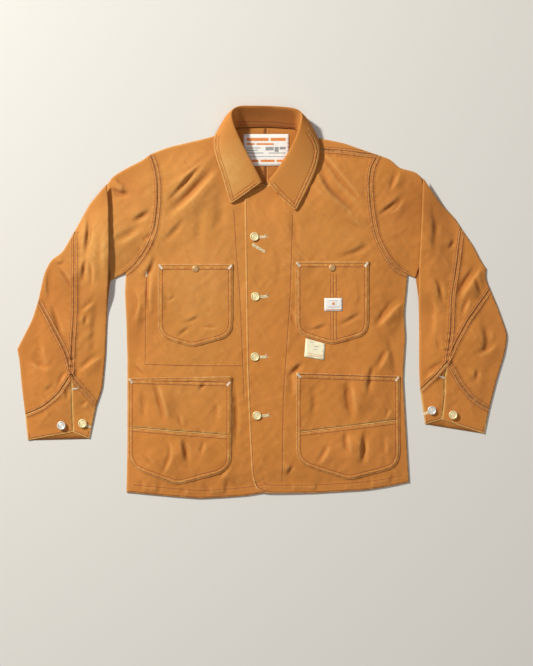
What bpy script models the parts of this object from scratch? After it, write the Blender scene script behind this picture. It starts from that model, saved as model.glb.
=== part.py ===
"""Chore jacket laid flat on its back: cut and sewn duck-canvas pieces, collar standing open.

Every cloth piece is cut, like the real one, from a sheet with its own outline. The sheets share one
lattice in plan, so layers that lie on each other keep a constant gap. Lengths below are millimetres.
X runs across the jacket (+X is the wearer's left), Y runs up it towards the collar, Z is up.
"""

import math
from collections import namedtuple

import bmesh
import bpy
from mathutils import Vector
from mathutils.geometry import intersect_point_line

MM = 0.001
CLOTH = 1.4          # thickness of one layer of canvas
GAP = 0.3            # clearance between layers and along seams
LAYER = CLOTH + GAP
LABEL_CLOTH = 0.6
CELL = 30.0          # spacing of the lattice that every sheet shares
CUTTER_HEIGHT = 160.0
MITRE_LIMIT = 0.35   # least squared mitre that a sharp corner is moved by

BODY_PUFF = 6.5      # how far the upper layer rises above the back
PUFF_REACH = 42.0    # how far inside the silhouette it takes to rise
NECK_FLAT = 150.0    # radius round the neck inside which the puff fades
NECK_CORE = 52.5     # and the one inside which none is left
NECK_POINT = (8.0, 300.0)
LIP_LIFT = 8.0       # extra height of the sleeve's folded edge over its cap
OVERLAP_END = 30.0   # the left front is raised over the right one up to this X
OVERLAP_FADE = 120.0

COLLAR_CLOTH = 2.2   # leaf and undercollar together
COLLAR_STATIONS_PER_ROW = 2
COLLAR_STEPS_ACROSS = 2
STAND_SHARE = 0.55   # where the stand bows, from the neck seam to the roll
TURN_SHARE = 0.25    # where the turned cloth bows, from the roll to the leaf
COLLAR_BOW = 1.5     # how far each of them bows
CENTRE_BACK = 8.0

BUTTON_RADIUS = 8.8
BUTTON_HEIGHT = 3.0
BUTTON_FOOT = 0.86    # radius of its underside, as a share of its own
SNAP_RADIUS = 7.4
SNAP_HEIGHT = 3.2
TURN_STEPS = 14
SEAT_STEPS = 16

# --- Seams and edges in plan, shared by the pieces on their two sides. Each runs downwards or outwards.

SHOULDER_RIGHT = ((-57, 352), (-98, 333), (-149, 321), (-190, 311), (-223, 298))
ARMHOLE_RIGHT = ((-223, 298), (-213, 270), (-208, 238), (-208, 200), (-214, 150), (-227, 113),
                 (-248, 82), (-273, 59))
CAP_TOP_RIGHT = ((-223, 298), (-242, 284), (-271, 270), (-301, 252), (-310, 237))
OUTER_ARM_RIGHT = ((-310, 237), (-345, 197), (-376, 143))
OUTER_MID_RIGHT = ((-376, 143), (-400, 101), (-423, 86), (-436, 60), (-448, 5))
OUTER_LOW_RIGHT = ((-448, 5), (-460, -33), (-490, -92), (-486, -112), (-480, -175), (-474, -223))
OUTER_CUFF_RIGHT = ((-474, -223), (-469, -274))
LIP_RIGHT = ((-310, 237), (-306, 195), (-304, 100), (-307, 44), (-309, 6))
FOLD_RIGHT = ((-309, 6), (-312, -51), (-314, -104), (-320, -170), (-332, -205))
FOLD_CUFF_RIGHT = ((-332, -205), (-346, -271))
UNDERARM_RIGHT = ((-273, 59), (-290, 53), (-304, 44), (-309, 6))
SIDE_RIGHT = ((-273, 59), (-275, 20), (-272, -40), (-270, -114), (-270, -292), (-272, -378))
HEM_RIGHT = ((-272, -378), (-178, -387), (-124, -391), (-71, -388), (-31, -385), (18, -377))
NECK_RIGHT = ((-70, 346), (-61, 318), (-51, 290), (-36, 264), (-20, 247), (18, 232))
SEAM_A_RIGHT = ((-376, 143), (-374, 74), (-375, -33), (-379, -80), (-381, -143))
SEAM_B_RIGHT = ((-448, 5), (-425, -35), (-391, -100), (-381, -143))
CUFF_OUT_RIGHT = ((-381, -143), (-389, -156), (-409, -185), (-440, -209), (-474, -223))
CUFF_IN_RIGHT = ((-381, -143), (-371, -158), (-348, -183), (-332, -205))
SLIT_RIGHT = ((-381, -143), (-380, -190), (-379, -258))

SHOULDER_LEFT = ((71, 349), (100, 332), (162, 320), (207, 304), (231, 296))
SHOULDER_SEAM_LEFT = ((80, 315), (123, 306), (165, 303), (214, 297), (231, 296))
ARMHOLE_LEFT = ((231, 296), (218, 272), (213, 240), (216, 196), (222, 155), (230, 125), (245, 95),
                (266, 68), (290, 56))
CAP_TOP_LEFT = ((231, 296), (257, 287), (272, 270), (307, 262), (320, 249))
OUTER_ARM_LEFT = ((320, 249), (334, 228), (356, 198), (385, 169), (398, 148))
OUTER_MID_LEFT = ((398, 148), (421, 115), (436, 85), (447, 69), (445, 50), (455, 27))
OUTER_LOW_LEFT = ((455, 27), (470, -8), (490, -64), (484, -101), (468, -153), (453, -212))
OUTER_CUFF_LEFT = ((453, -212), (443, -261))
LIP_LEFT = ((320, 249), (318, 215), (315, 150), (312, 85), (311, 49), (312, 10))
FOLD_LEFT = ((312, 10), (313, -53), (313, -130), (315, -174))
FOLD_CUFF_LEFT = ((315, -174), (325, -242))
UNDERARM_LEFT = ((290, 56), (306, 50), (312, 10))
SIDE_LEFT = ((290, 56), (287, 20), (283, -20), (286, -68), (281, -150), (288, -280), (293, -358))
HEM_LEFT = ((293, -358), (251, -367), (207, -374), (105, -380), (-1, -380))
PLACKET_LEFT = ((-1, -380), (-14, -370), (-21, -346), (-26, -254), (-31, -130), (-33, 60), (-36, 226))
NECK_LEFT = ((-36, 226), (-10, 230), (14, 236), (34, 252), (50, 272), (66, 296), (80, 315))
SEAM_A_LEFT = ((398, 148), (388, 75), (378, 10), (376, -60), (368, -118))
SEAM_B_LEFT = ((455, 27), (409, -36), (388, -75), (368, -118))
CUFF_OUT_LEFT = ((368, -118), (379, -131), (391, -156), (406, -177), (424, -196), (453, -212))
CUFF_IN_LEFT = ((368, -118), (352, -137), (332, -158), (315, -174))
SLIT_LEFT = ((368, -118), (363, -150), (363, -190), (358, -233))

BACK_NECK_RIGHT = ((CENTRE_BACK, 353), (-57, 352))
BACK_NECK_LEFT = ((71, 349), (CENTRE_BACK, 353))
CENTRE_SEAM = ((CENTRE_BACK, -376), (CENTRE_BACK, 353))
CAP_UNDER_LIP = 8.0  # how far the cap runs on under the sleeve's folded edge

# --- Folds of the upper layer: one row each, a soft ridge (or trough, if the height is negative).

Fold = namedtuple("Fold", "start_x start_y end_x end_y width height")
FOLDS = (
    Fold(-91, 276, -195, 172, 20, -2.6),
    Fold(-80, 250, -180, 150, 22, 1.8),
    Fold(109, 286, 205, 172, 20, -2.6),
    Fold(90, 262, 196, 150, 22, 1.8),
    Fold(-347, 180, -359, 42, 18, -2.6),
    Fold(-328, 180, -338, 42, 18, 2.6),
    Fold(-440, 40, -420, -66, 18, -2.0),
    Fold(435, 82, 389, 6, 20, -3.0),
    Fold(452, 60, 412, -20, 20, 2.2),
    Fold(361, -116, 317, -148, 18, -2.4),
    Fold(283, 12, 221, -48, 20, -2.6),
    Fold(260, 30, 196, -20, 22, 2.0),
    Fold(173, -150, 179, -236, 20, -3.0),
    Fold(203, -254, 199, -324, 18, -2.6),
    Fold(225, -150, 228, -300, 24, 2.0),
    Fold(-217, -156, -193, -242, 20, -2.8),
    Fold(-159, -266, -147, -324, 18, -2.6),
    Fold(-240, -160, -225, -250, 22, 2.0),
    Fold(-57, -138, -50, -310, 18, -2.2),
    Fold(58, -130, 55, -300, 18, -2.2),
)

# --- Pockets: top edge from one corner to the other, lower corners, and the point between them.

Pocket = namedtuple("Pocket", "name side left_x right_x top_left_y top_right_y"
                              " low_left_y low_right_y point_x point_y radius")
CHEST_POCKETS = (
    Pocket("chest_pocket_right", "right", -208, -59, 78, 78, -68, -66, -140, -88, 28),
    Pocket("chest_pocket_left", "left", 66, 212, 83, 83, -62, -63, 138, -83, 26),
)
HIP_POCKETS = (
    Pocket("hip_pocket_right", "right", -268, -62, -149, -146, -327, -334, -171, -363, 34),
    Pocket("hip_pocket_left", "left", 67, 274, -138, -145, -319, -327, 171, -353, 32),
)
CrossSeam = namedtuple("CrossSeam", "left_y right_y")
HIP_CROSS_SEAMS = {"hip_pocket_right": CrossSeam(-247, -263), "hip_pocket_left": CrossSeam(-257, -232)}
POINT_RADIUS = 8.0
ARC_STEPS = 4

# --- Collar: one row for each section round the neck, from the right front to the left front.
# Each section runs from the neck seam up the stand to the roll, over it, and down the leaf to its edge.

Section = namedtuple("Section", "neck_x neck_y neck_z roll_x roll_y roll_z"
                                " leaf_x leaf_y leaf_z edge_x edge_y edge_z")
COLLAR = (
    Section(-13, 238, 8.6, -2, 240, 13.5, -33, 218, 13, -64, 196, 11),
    Section(-24, 247, 8.4, -7, 251, 15, -42, 235, 14, -72, 222, 11),
    Section(-40, 264, 8.0, -19, 274, 18, -54, 262, 16, -80, 252, 11),
    Section(-56, 290, 7.4, -34, 303, 22, -68, 292, 18.5, -91, 284, 11),
    Section(-65, 320, 6.6, -48, 331, 27, -80, 322, 21, -98, 314, 10),
    Section(-63, 340, 5.0, -58, 357, 31, -82, 344, 22, -95, 334, 8),
    Section(-55, 350, 2.9, -60, 377, 33, -75, 370, 20, -80, 357, 5),
    Section(-44, 351, 2.9, -46, 386, 32, -50, 387, 16, -54, 366, 2.4),
    Section(-22, 351, 2.9, -24, 387, 30, -25, 388, 14, -26, 364, 1.7),
    Section(8, 352, 2.9, 8, 387, 29, 8, 388, 13, 8, 362, 1.7),
    Section(38, 350, 2.9, 38, 385, 30, 39, 386, 14, 41, 362, 1.7),
    Section(58, 349, 2.9, 61, 382, 32, 65, 384, 16, 69, 362, 2.4),
    Section(69, 346, 2.9, 77, 373, 33, 90, 364, 20, 96, 354, 5),
    Section(77, 334, 6.0, 74, 350, 31, 97, 340, 22, 110, 330, 9.5),
    Section(82, 315, 8.2, 65, 325, 27, 96, 314, 21, 115, 302, 12),
    Section(73, 290, 8.6, 53, 301, 23, 86, 287, 19, 109, 272, 12.5),
    Section(57, 266, 8.8, 37, 276, 19, 72, 258, 17, 98, 243, 13),
    Section(41, 251, 9.0, 24, 257, 16.5, 57, 236, 15, 84, 215, 13),
    Section(24, 240, 9.2, 10, 241, 14.5, 37, 211, 14, 66, 182, 13),
)

# --- Buttons and snaps on their panels: centre in plan.

Fastener = namedtuple("Fastener", "name x y")
FRONT_BUTTONS = (
    Fastener("front_button_1", -16, 132),
    Fastener("front_button_2", -14, 13),
    Fastener("front_button_3", -15, -107),
    Fastener("front_button_4", -11, -224),
)
CUFF_BUTTONS = (
    Fastener("cuff_button_right_outer", -401, -244),
    Fastener("cuff_button_right_inner", -359, -240),
    Fastener("cuff_button_left_inner", 338, -214),
    Fastener("cuff_button_left_outer", 380, -223),
)
POCKET_SNAPS = (
    Fastener("pocket_snap_right", -133, 68),
    Fastener("pocket_snap_left", 139, 70),
)

NECK_LABEL = ((-38, 274), (53, 274), (53, 338), (-38, 338))
POCKET_LABEL = ((123, -16), (159, -16), (159, 10), (123, 10))
SEAM_LABEL = ((83, -107), (123, -114), (125, -81), (86, -70))

# --- Colours.

CANVAS = (0.62, 0.33, 0.11)
CANVAS_ROUGHNESS = 0.85
WHITE_WEAVE = (0.86, 0.84, 0.80)
CREAM_WEAVE = (0.80, 0.72, 0.55)
BRASS = (0.75, 0.60, 0.34)
COPPER = (0.55, 0.34, 0.20)


def clear_scene():
    for obj in list(bpy.data.objects):
        bpy.data.objects.remove(obj, do_unlink=True)


def new_collection(name):
    collection = bpy.data.collections.new(name)
    bpy.context.scene.collection.children.link(collection)
    return collection


def material(name, colour, roughness, metallic=0.0):
    made = bpy.data.materials.new(name)
    made.use_nodes = True
    shader = made.node_tree.nodes["Principled BSDF"]
    shader.inputs["Base Color"].default_value = (*colour, 1.0)
    shader.inputs["Roughness"].default_value = roughness
    shader.inputs["Metallic"].default_value = metallic
    return made


def joined(*runs):
    """One closed outline from runs of points, without the points that two runs share."""
    points = []
    for run in runs:
        for point in run:
            if not points or math.dist(points[-1], point) > GAP:
                points.append(point)
    if math.dist(points[0], points[-1]) < GAP:
        points.pop()
    return points


def signed_area(points):
    return sum(a[0] * b[1] - b[0] * a[1] for a, b in zip(points, points[1:] + points[:1])) / 2


def inset(points, amount):
    """The outline moved inwards by the amount, with mitred corners."""
    turn = 1 if signed_area(points) > 0 else -1
    moved = []
    for before, here, after in zip(points[-1:] + points[:-1], points, points[1:] + points[:1]):
        first = (Vector(here) - Vector(before)).normalized()
        second = (Vector(after) - Vector(here)).normalized()
        normal_1 = Vector((-first.y, first.x)) * turn
        normal_2 = Vector((-second.y, second.x)) * turn
        mitre = normal_1 + normal_2
        mitre *= amount / max(0.5 * mitre.length_squared, MITRE_LIMIT)
        moved.append((here[0] + mitre.x, here[1] + mitre.y))
    return moved


def rounded(corners):
    """An outline whose corners (x, y, radius) are replaced by arcs."""
    points = []
    count = len(corners)
    for i, (x, y, radius) in enumerate(corners):
        if radius == 0:
            points.append((x, y))
            continue
        here = Vector((x, y))
        back = (Vector(corners[i - 1][:2]) - here).normalized()
        ahead = (Vector(corners[(i + 1) % count][:2]) - here).normalized()
        half = back.angle(ahead) / 2
        centre = here + (back + ahead).normalized() * radius / math.sin(half)
        start = here + back * radius / math.tan(half) - centre
        end = here + ahead * radius / math.tan(half) - centre
        for step in range(ARC_STEPS + 1):
            spoke = start.slerp(end, step / ARC_STEPS) * radius
            points.append((centre.x + spoke.x, centre.y + spoke.y))
    return points


def distance_to_run(x, y, run):
    point = Vector((x, y, 0))
    nearest = math.inf
    for a, b in zip(run[:-1], run[1:]):
        foot, share = intersect_point_line(point, Vector((*a, 0)), Vector((*b, 0)))
        if share < 0:
            foot = Vector((*a, 0))
        elif share > 1:
            foot = Vector((*b, 0))
        nearest = min(nearest, (foot - point).length)
    return nearest


def is_inside(x, y, outline):
    inside = False
    for (ax, ay), (bx, by) in zip(outline, outline[1:] + outline[:1]):
        if (ay > y) != (by > y) and x < ax + (y - ay) / (by - ay) * (bx - ax):
            inside = not inside
    return inside


def smooth(value, start, end):
    """0 before start, 1 after end, easing between."""
    share = min(max((value - start) / (end - start), 0.0), 1.0)
    return share * share * (3 - 2 * share)


SILHOUETTE = joined(
    BACK_NECK_RIGHT, SHOULDER_RIGHT, CAP_TOP_RIGHT, OUTER_ARM_RIGHT, OUTER_MID_RIGHT, OUTER_LOW_RIGHT,
    OUTER_CUFF_RIGHT, FOLD_CUFF_RIGHT[::-1], FOLD_RIGHT[::-1], UNDERARM_RIGHT[::-1], SIDE_RIGHT,
    HEM_RIGHT, HEM_LEFT[::-1], SIDE_LEFT[::-1], UNDERARM_LEFT, FOLD_LEFT, FOLD_CUFF_LEFT,
    OUTER_CUFF_LEFT[::-1], OUTER_LOW_LEFT[::-1], OUTER_MID_LEFT[::-1], OUTER_ARM_LEFT[::-1],
    CAP_TOP_LEFT[::-1], SHOULDER_LEFT[::-1], BACK_NECK_LEFT,
)


def puff(x, y):
    """How far the upper layer stands above the lower one: nothing at the silhouette, most inside it."""
    if not is_inside(x, y, SILHOUETTE):
        return 0.0
    edge = distance_to_run(x, y, SILHOUETTE + SILHOUETTE[:1])
    height = BODY_PUFF * (1 - math.exp(-((edge / PUFF_REACH) ** 2)))
    for fold in FOLDS:
        line = ((fold.start_x, fold.start_y), (fold.end_x, fold.end_y))
        height += fold.height * math.exp(-((distance_to_run(x, y, line) / fold.width) ** 2))
    from_neck = math.dist((x, y), NECK_POINT)
    return max(height, 0.0) * smooth(from_neck, NECK_CORE, NECK_FLAT)


def upper_height(x, y):
    return LAYER + puff(x, y)


def left_front_height(x, y):
    return upper_height(x, y) + LAYER * (1 - smooth(x, OVERLAP_END, OVERLAP_FADE))


def sleeve_height(lip, outward):
    """The sleeve over its own cap: raised near the folded edge above the underarm."""

    def height(x, y):
        beyond = outward * x - outward * lip[2][0]
        raised = (1 - smooth(beyond, CELL * 1.5, CELL * 3.5)) * smooth(y, -CELL, CELL)
        return upper_height(x, y) + (LAYER + LIP_LIFT) * raised

    return height


def higher(height, layers=1):
    return lambda x, y: height(x, y) + layers * LAYER


def lattice_range(values):
    return math.floor(min(values) / CELL) - 1, math.ceil(max(values) / CELL) + 1


def sheet_mesh(name, outline, height, thickness):
    """A triangulated sheet over the outline's box, its underside at height(x, y) on the lattice."""
    first_i, last_i = lattice_range([x for x, _ in outline])
    first_j, last_j = lattice_range([y for _, y in outline])
    columns = last_i - first_i
    rows = last_j - first_j
    bm = bmesh.new()
    bmesh.ops.create_grid(bm, x_segments=columns, y_segments=rows, size=0.5)
    bmesh.ops.triangulate(bm, faces=bm.faces[:], quad_method="FIXED")
    for vert in bm.verts:
        x = (first_i + round((vert.co.x + 0.5) * columns)) * CELL
        y = (first_j + round((vert.co.y + 0.5) * rows)) * CELL
        vert.co = Vector((x, y, height(x, y))) * MM
    grown = bmesh.ops.extrude_face_region(bm, geom=bm.faces[:], use_keep_orig=True)
    top = [item for item in grown["geom"] if isinstance(item, bmesh.types.BMVert)]
    bmesh.ops.translate(bm, verts=top, vec=(0, 0, thickness * MM))
    bmesh.ops.recalc_face_normals(bm, faces=bm.faces[:])
    mesh = bpy.data.meshes.new(name)
    bm.to_mesh(mesh)
    bm.free()
    return mesh


def prism(name, outline, collection):
    """An upright cutter of the outline: a filled flat curve, extruded, made a closed mesh."""
    curve = bpy.data.curves.new(name + "_curve", "CURVE")
    curve.dimensions = "2D"
    curve.fill_mode = "BOTH"
    curve.extrude = CUTTER_HEIGHT / 2 * MM
    spline = curve.splines.new("POLY")
    spline.points.add(len(outline) - 1)
    for point, (x, y) in zip(spline.points, outline):
        point.co = (x * MM, y * MM, 0, 1)
    spline.use_cyclic_u = True
    guide = bpy.data.objects.new(name + "_curve", curve)
    bpy.context.scene.collection.objects.link(guide)
    graph = bpy.context.evaluated_depsgraph_get()
    mesh = bpy.data.meshes.new_from_object(guide.evaluated_get(graph))
    bpy.data.objects.remove(guide, do_unlink=True)
    bm = bmesh.new()
    bm.from_mesh(mesh)
    bmesh.ops.remove_doubles(bm, verts=bm.verts[:], dist=0.01 * MM)
    bmesh.ops.recalc_face_normals(bm, faces=bm.faces[:])
    bm.to_mesh(mesh)
    bm.free()
    cutter = bpy.data.objects.new(name, mesh)
    cutter.hide_render = True
    cutter.display_type = "WIRE"
    collection.objects.link(cutter)
    return cutter


def add_part(name, mesh, finish, scene):
    obj = bpy.data.objects.new(name, mesh)
    mesh.materials.append(finish)
    scene.parts.objects.link(obj)
    obj.parent = scene.root
    return obj


def cut_sheet(name, outline, height, finish, scene, thickness=CLOTH):
    """One cloth piece: its sheet, trimmed to its outline less half a seam gap."""
    trimmed = inset(list(outline), GAP / 2)
    obj = add_part(name, sheet_mesh(name, outline, height, thickness), finish, scene)
    cutter = prism(name + "_outline", trimmed, scene.cutters)
    cutter.parent = scene.root
    cut = obj.modifiers.new("outline", "BOOLEAN")
    cut.operation = "INTERSECT"
    cut.solver = "EXACT"
    cut.object = cutter
    return obj


def flat_sheet(name, outline, scene):
    """A piece that lies flat on the surface: its outline, one layer thick."""
    flat = prism(name, inset(list(outline), GAP / 2), scene.parts)
    flat.hide_render = False
    flat.display_type = "TEXTURED"
    for vert in flat.data.vertices:
        vert.co.z = CLOTH * MM if vert.co.z > 0 else 0.0
    flat.data.materials.append(scene.canvas)
    flat.parent = scene.root
    return flat


def build_backs(scene):
    right = joined(CENTRE_SEAM[::-1], HEM_RIGHT[:-1][::-1], SIDE_RIGHT[::-1], ARMHOLE_RIGHT[::-1],
                   SHOULDER_RIGHT[::-1], BACK_NECK_RIGHT[::-1])
    left = joined(CENTRE_SEAM, BACK_NECK_LEFT[::-1], SHOULDER_LEFT, ARMHOLE_LEFT, SIDE_LEFT,
                  HEM_LEFT[:-1])
    flat_sheet("back_right", right, scene)
    flat_sheet("back_left", left, scene)
    sleeve_right = joined(ARMHOLE_RIGHT, UNDERARM_RIGHT, FOLD_RIGHT, FOLD_CUFF_RIGHT,
                          OUTER_CUFF_RIGHT[::-1], OUTER_LOW_RIGHT[::-1], OUTER_MID_RIGHT[::-1],
                          OUTER_ARM_RIGHT[::-1], CAP_TOP_RIGHT[::-1])
    sleeve_left = joined(ARMHOLE_LEFT, UNDERARM_LEFT, FOLD_LEFT, FOLD_CUFF_LEFT, OUTER_CUFF_LEFT[::-1],
                         OUTER_LOW_LEFT[::-1], OUTER_MID_LEFT[::-1], OUTER_ARM_LEFT[::-1],
                         CAP_TOP_LEFT[::-1])
    flat_sheet("sleeve_back_right", sleeve_right, scene)
    flat_sheet("sleeve_back_left", sleeve_left, scene)
    turn = joined(SHOULDER_LEFT, SHOULDER_SEAM_LEFT[::-1])
    cut_sheet("back_turn_left", turn, upper_height, scene.canvas, scene)


def build_fronts(scene):
    right = joined(NECK_RIGHT, ((18, -377),), HEM_RIGHT[:-1][::-1], SIDE_RIGHT[::-1],
                   ARMHOLE_RIGHT[::-1], SHOULDER_RIGHT[1:][::-1], ((-84, 340),))
    left = joined(NECK_LEFT, SHOULDER_SEAM_LEFT, ARMHOLE_LEFT, SIDE_LEFT, HEM_LEFT, PLACKET_LEFT)
    cut_sheet("front_right", right, upper_height, scene.canvas, scene)
    cut_sheet("front_left", left, left_front_height, scene.canvas, scene)
    return {"right": upper_height, "left": left_front_height}


def pocket_outline(pocket):
    return rounded((
        (pocket.left_x, pocket.top_left_y, 0),
        (pocket.left_x, pocket.low_left_y, pocket.radius),
        (pocket.point_x, pocket.point_y, POINT_RADIUS),
        (pocket.right_x, pocket.low_right_y, pocket.radius),
        (pocket.right_x, pocket.top_right_y, 0),
    ))


def split_outline(outline, left_y, right_y):
    """The outline's part above a line between two heights on its straight sides, and the part below."""
    left_x = outline[0][0]
    right_x = outline[-1][0]
    upper = [outline[0], (left_x, left_y), (right_x, right_y), outline[-1]]
    lower = [(left_x, left_y)] + outline[1:-1] + [(right_x, right_y)]
    return upper, lower


def build_pockets(scene, fronts):
    for pocket in CHEST_POCKETS:
        height = higher(fronts[pocket.side])
        cut_sheet(pocket.name, pocket_outline(pocket), height, scene.canvas, scene)
    for pocket in HIP_POCKETS:
        height = higher(fronts[pocket.side])
        seam = HIP_CROSS_SEAMS[pocket.name]
        upper, lower = split_outline(pocket_outline(pocket), seam.left_y, seam.right_y)
        cut_sheet(pocket.name + "_upper", upper, height, scene.canvas, scene)
        cut_sheet(pocket.name + "_lower", lower, height, scene.canvas, scene)


def build_sleeves(scene):
    """Each sleeve's upper side: cap, two upper panels, elbow piece and the two halves of the cuff."""
    sides = (
        ("right", -1, LIP_RIGHT, ARMHOLE_RIGHT, CAP_TOP_RIGHT, UNDERARM_RIGHT, OUTER_ARM_RIGHT,
         OUTER_MID_RIGHT, OUTER_LOW_RIGHT, OUTER_CUFF_RIGHT, FOLD_RIGHT, FOLD_CUFF_RIGHT,
         SEAM_A_RIGHT, SEAM_B_RIGHT, CUFF_OUT_RIGHT, CUFF_IN_RIGHT, SLIT_RIGHT),
        ("left", 1, LIP_LEFT, ARMHOLE_LEFT, CAP_TOP_LEFT, UNDERARM_LEFT, OUTER_ARM_LEFT,
         OUTER_MID_LEFT, OUTER_LOW_LEFT, OUTER_CUFF_LEFT, FOLD_LEFT, FOLD_CUFF_LEFT,
         SEAM_A_LEFT, SEAM_B_LEFT, CUFF_OUT_LEFT, CUFF_IN_LEFT, SLIT_LEFT),
    )
    heights = {}
    for (side, outward, lip, armhole, cap_top, underarm, arm, mid, low, cuff_edge, fold, cuff_fold,
         seam_a, seam_b, cuff_out, cuff_in, slit) in sides:
        height = sleeve_height(lip, outward)
        heights[side] = height
        hidden = [(x + outward * CAP_UNDER_LIP, y) for x, y in lip[1:-2]]
        cap = joined(armhole, underarm[1:-1], hidden[::-1], cap_top[::-1])
        inner = joined(lip, fold, cuff_in[::-1], seam_a[::-1], arm[::-1])
        outer = joined(seam_a, seam_b[::-1], mid[::-1])
        elbow = joined(seam_b, cuff_out, low[::-1])
        cuff_outer = joined(cuff_out, cuff_edge, slit[::-1])
        cuff_inner = joined(cuff_in, cuff_fold, slit[::-1])
        cut_sheet("sleeve_cap_" + side, cap, upper_height, scene.canvas, scene)
        pieces = (("sleeve_inner", inner), ("sleeve_outer", outer), ("sleeve_elbow", elbow),
                  ("cuff_outer", cuff_outer), ("cuff_inner", cuff_inner))
        for name, outline in pieces:
            cut_sheet(name + "_" + side, outline, height, scene.canvas, scene)
    return heights


def blend_rows(before, start, end, after, share):
    """A smooth curve through four rows of numbers, between the middle two."""
    made = []
    for p0, p1, p2, p3 in zip(before, start, end, after):
        made.append(0.5 * (2 * p1 + (p2 - p0) * share + (2 * p0 - 5 * p1 + 4 * p2 - p3) * share**2
                           + (3 * p1 - p0 - 3 * p2 + p3) * share**3))
    return made


def smooth_through(rows, steps):
    padded = [rows[0], *rows, rows[-1]]
    made = []
    for i in range(len(rows) - 1):
        for step in range(steps):
            made.append(blend_rows(*padded[i:i + 4], step / steps))
    made.append(list(rows[-1]))
    return made


def collar_section(row):
    """Points from the neck seam up the stand, over the roll and down the leaf."""
    section = Section(*row)
    neck = Vector((section.neck_x, section.neck_y, section.neck_z))
    roll = Vector((section.roll_x, section.roll_y, section.roll_z))
    leaf = Vector((section.leaf_x, section.leaf_y, section.leaf_z))
    edge = Vector((section.edge_x, section.edge_y, section.edge_z))
    stand = neck.lerp(roll, STAND_SHARE) - Vector((0, 0, COLLAR_BOW))
    turn = roll.lerp(leaf, TURN_SHARE) + Vector((0, 0, COLLAR_BOW))
    return smooth_through([tuple(p) for p in (neck, stand, roll, turn, leaf, edge)],
                          COLLAR_STEPS_ACROSS)


def build_collar(scene):
    sections = [collar_section(row) for row in smooth_through(COLLAR, COLLAR_STATIONS_PER_ROW)]
    across = len(sections[0])
    bm = bmesh.new()
    bmesh.ops.create_grid(bm, x_segments=len(sections) - 1, y_segments=across - 1, size=0.5)
    for vert in bm.verts:
        station = round((vert.co.x + 0.5) * (len(sections) - 1))
        step = round((vert.co.y + 0.5) * (across - 1))
        vert.co = Vector(sections[station][step]) * MM
    mesh = bpy.data.meshes.new("collar")
    bm.to_mesh(mesh)
    bm.free()
    collar = add_part("collar", mesh, scene.canvas, scene)
    wall = collar.modifiers.new("cloth", "SOLIDIFY")
    wall.thickness = COLLAR_CLOTH * MM
    wall.offset = 0
    wall.use_even_offset = True
    wall.use_rim = True


def sheet_top(height, x, y):
    """The highest that a sheet's upper face can be at a point: both ways of cutting its cell."""
    i = math.floor(x / CELL)
    j = math.floor(y / CELL)
    u = x / CELL - i
    v = y / CELL - j
    corners = [height((i + a) * CELL, (j + b) * CELL) for a, b in ((0, 0), (1, 0), (0, 1), (1, 1))]
    low, right, up, far = corners
    if u > v:
        rising = low + u * (right - low) + v * (far - right)
    else:
        rising = low + v * (up - low) + u * (far - up)
    if u + v < 1:
        falling = low + u * (right - low) + v * (up - low)
    else:
        falling = far + (1 - u) * (up - far) + (1 - v) * (right - far)
    return max(rising, falling) + CLOTH


def seat_height(height, x, y, radius):
    """Where a flat-bottomed disc clears the sheet below it."""
    turns = [2 * math.pi * step / SEAT_STEPS for step in range(SEAT_STEPS)]
    rim = [(x + radius * math.cos(turn), y + radius * math.sin(turn)) for turn in turns]
    return max(sheet_top(height, *point) for point in [(x, y), *rim]) + GAP


def turned(name, profile, x, y, z, finish, scene):
    """A round piece: a profile of (radius, height) from its top to its underside, spun about Z."""
    mesh = bpy.data.meshes.new(name)
    points = [(radius * MM, 0, height * MM) for radius, height in profile]
    mesh.from_pydata(points, [(i, i + 1) for i in range(len(points) - 1)], [])
    obj = add_part(name, mesh, finish, scene)
    obj.location = (x * MM, y * MM, z * MM)
    screw = obj.modifiers.new("turn", "SCREW")
    screw.steps = TURN_STEPS
    screw.render_steps = TURN_STEPS
    screw.use_merge_vertices = True
    screw.merge_threshold = 0.00001
    screw.use_smooth_shade = True
    return obj


def button_profile(radius, height):
    return ((0, height * 0.72), (radius * 0.6, height * 0.72), (radius * 0.74, height),
            (radius * 0.9, height), (radius, height * 0.66), (radius * BUTTON_FOOT, height * 0.2),
            (radius * 0.5, 0), (0, 0))


def snap_profile(radius, height):
    return ((0, height), (radius * 0.45, height * 0.93), (radius * 0.8, height * 0.66),
            (radius, height * 0.25), (radius, 0), (0, 0))


def build_fasteners(scene, fronts, sleeves):
    for row in FRONT_BUTTONS:
        z = seat_height(fronts["left"], row.x, row.y, BUTTON_RADIUS * BUTTON_FOOT)
        profile = button_profile(BUTTON_RADIUS, BUTTON_HEIGHT)
        turned(row.name, profile, row.x, row.y, z, scene.brass, scene)
    for row in CUFF_BUTTONS:
        side = "right" if row.x < 0 else "left"
        z = seat_height(sleeves[side], row.x, row.y, BUTTON_RADIUS * BUTTON_FOOT)
        profile = button_profile(BUTTON_RADIUS, BUTTON_HEIGHT)
        turned(row.name, profile, row.x, row.y, z, scene.brass, scene)
    for row in POCKET_SNAPS:
        side = "right" if row.x < 0 else "left"
        z = seat_height(higher(fronts[side]), row.x, row.y, SNAP_RADIUS)
        turned(row.name, snap_profile(SNAP_RADIUS, SNAP_HEIGHT), row.x, row.y, z, scene.copper, scene)


def build_labels(scene, fronts):
    def on_the_back(x, y):
        return LAYER

    cut_sheet("neck_label", NECK_LABEL, on_the_back, scene.white_weave, scene, LABEL_CLOTH)
    cut_sheet("pocket_label", POCKET_LABEL, higher(fronts["left"], 2), scene.cream_weave, scene,
              LABEL_CLOTH)
    cut_sheet("seam_label", SEAM_LABEL, higher(fronts["left"]), scene.cream_weave, scene, LABEL_CLOTH)


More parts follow.
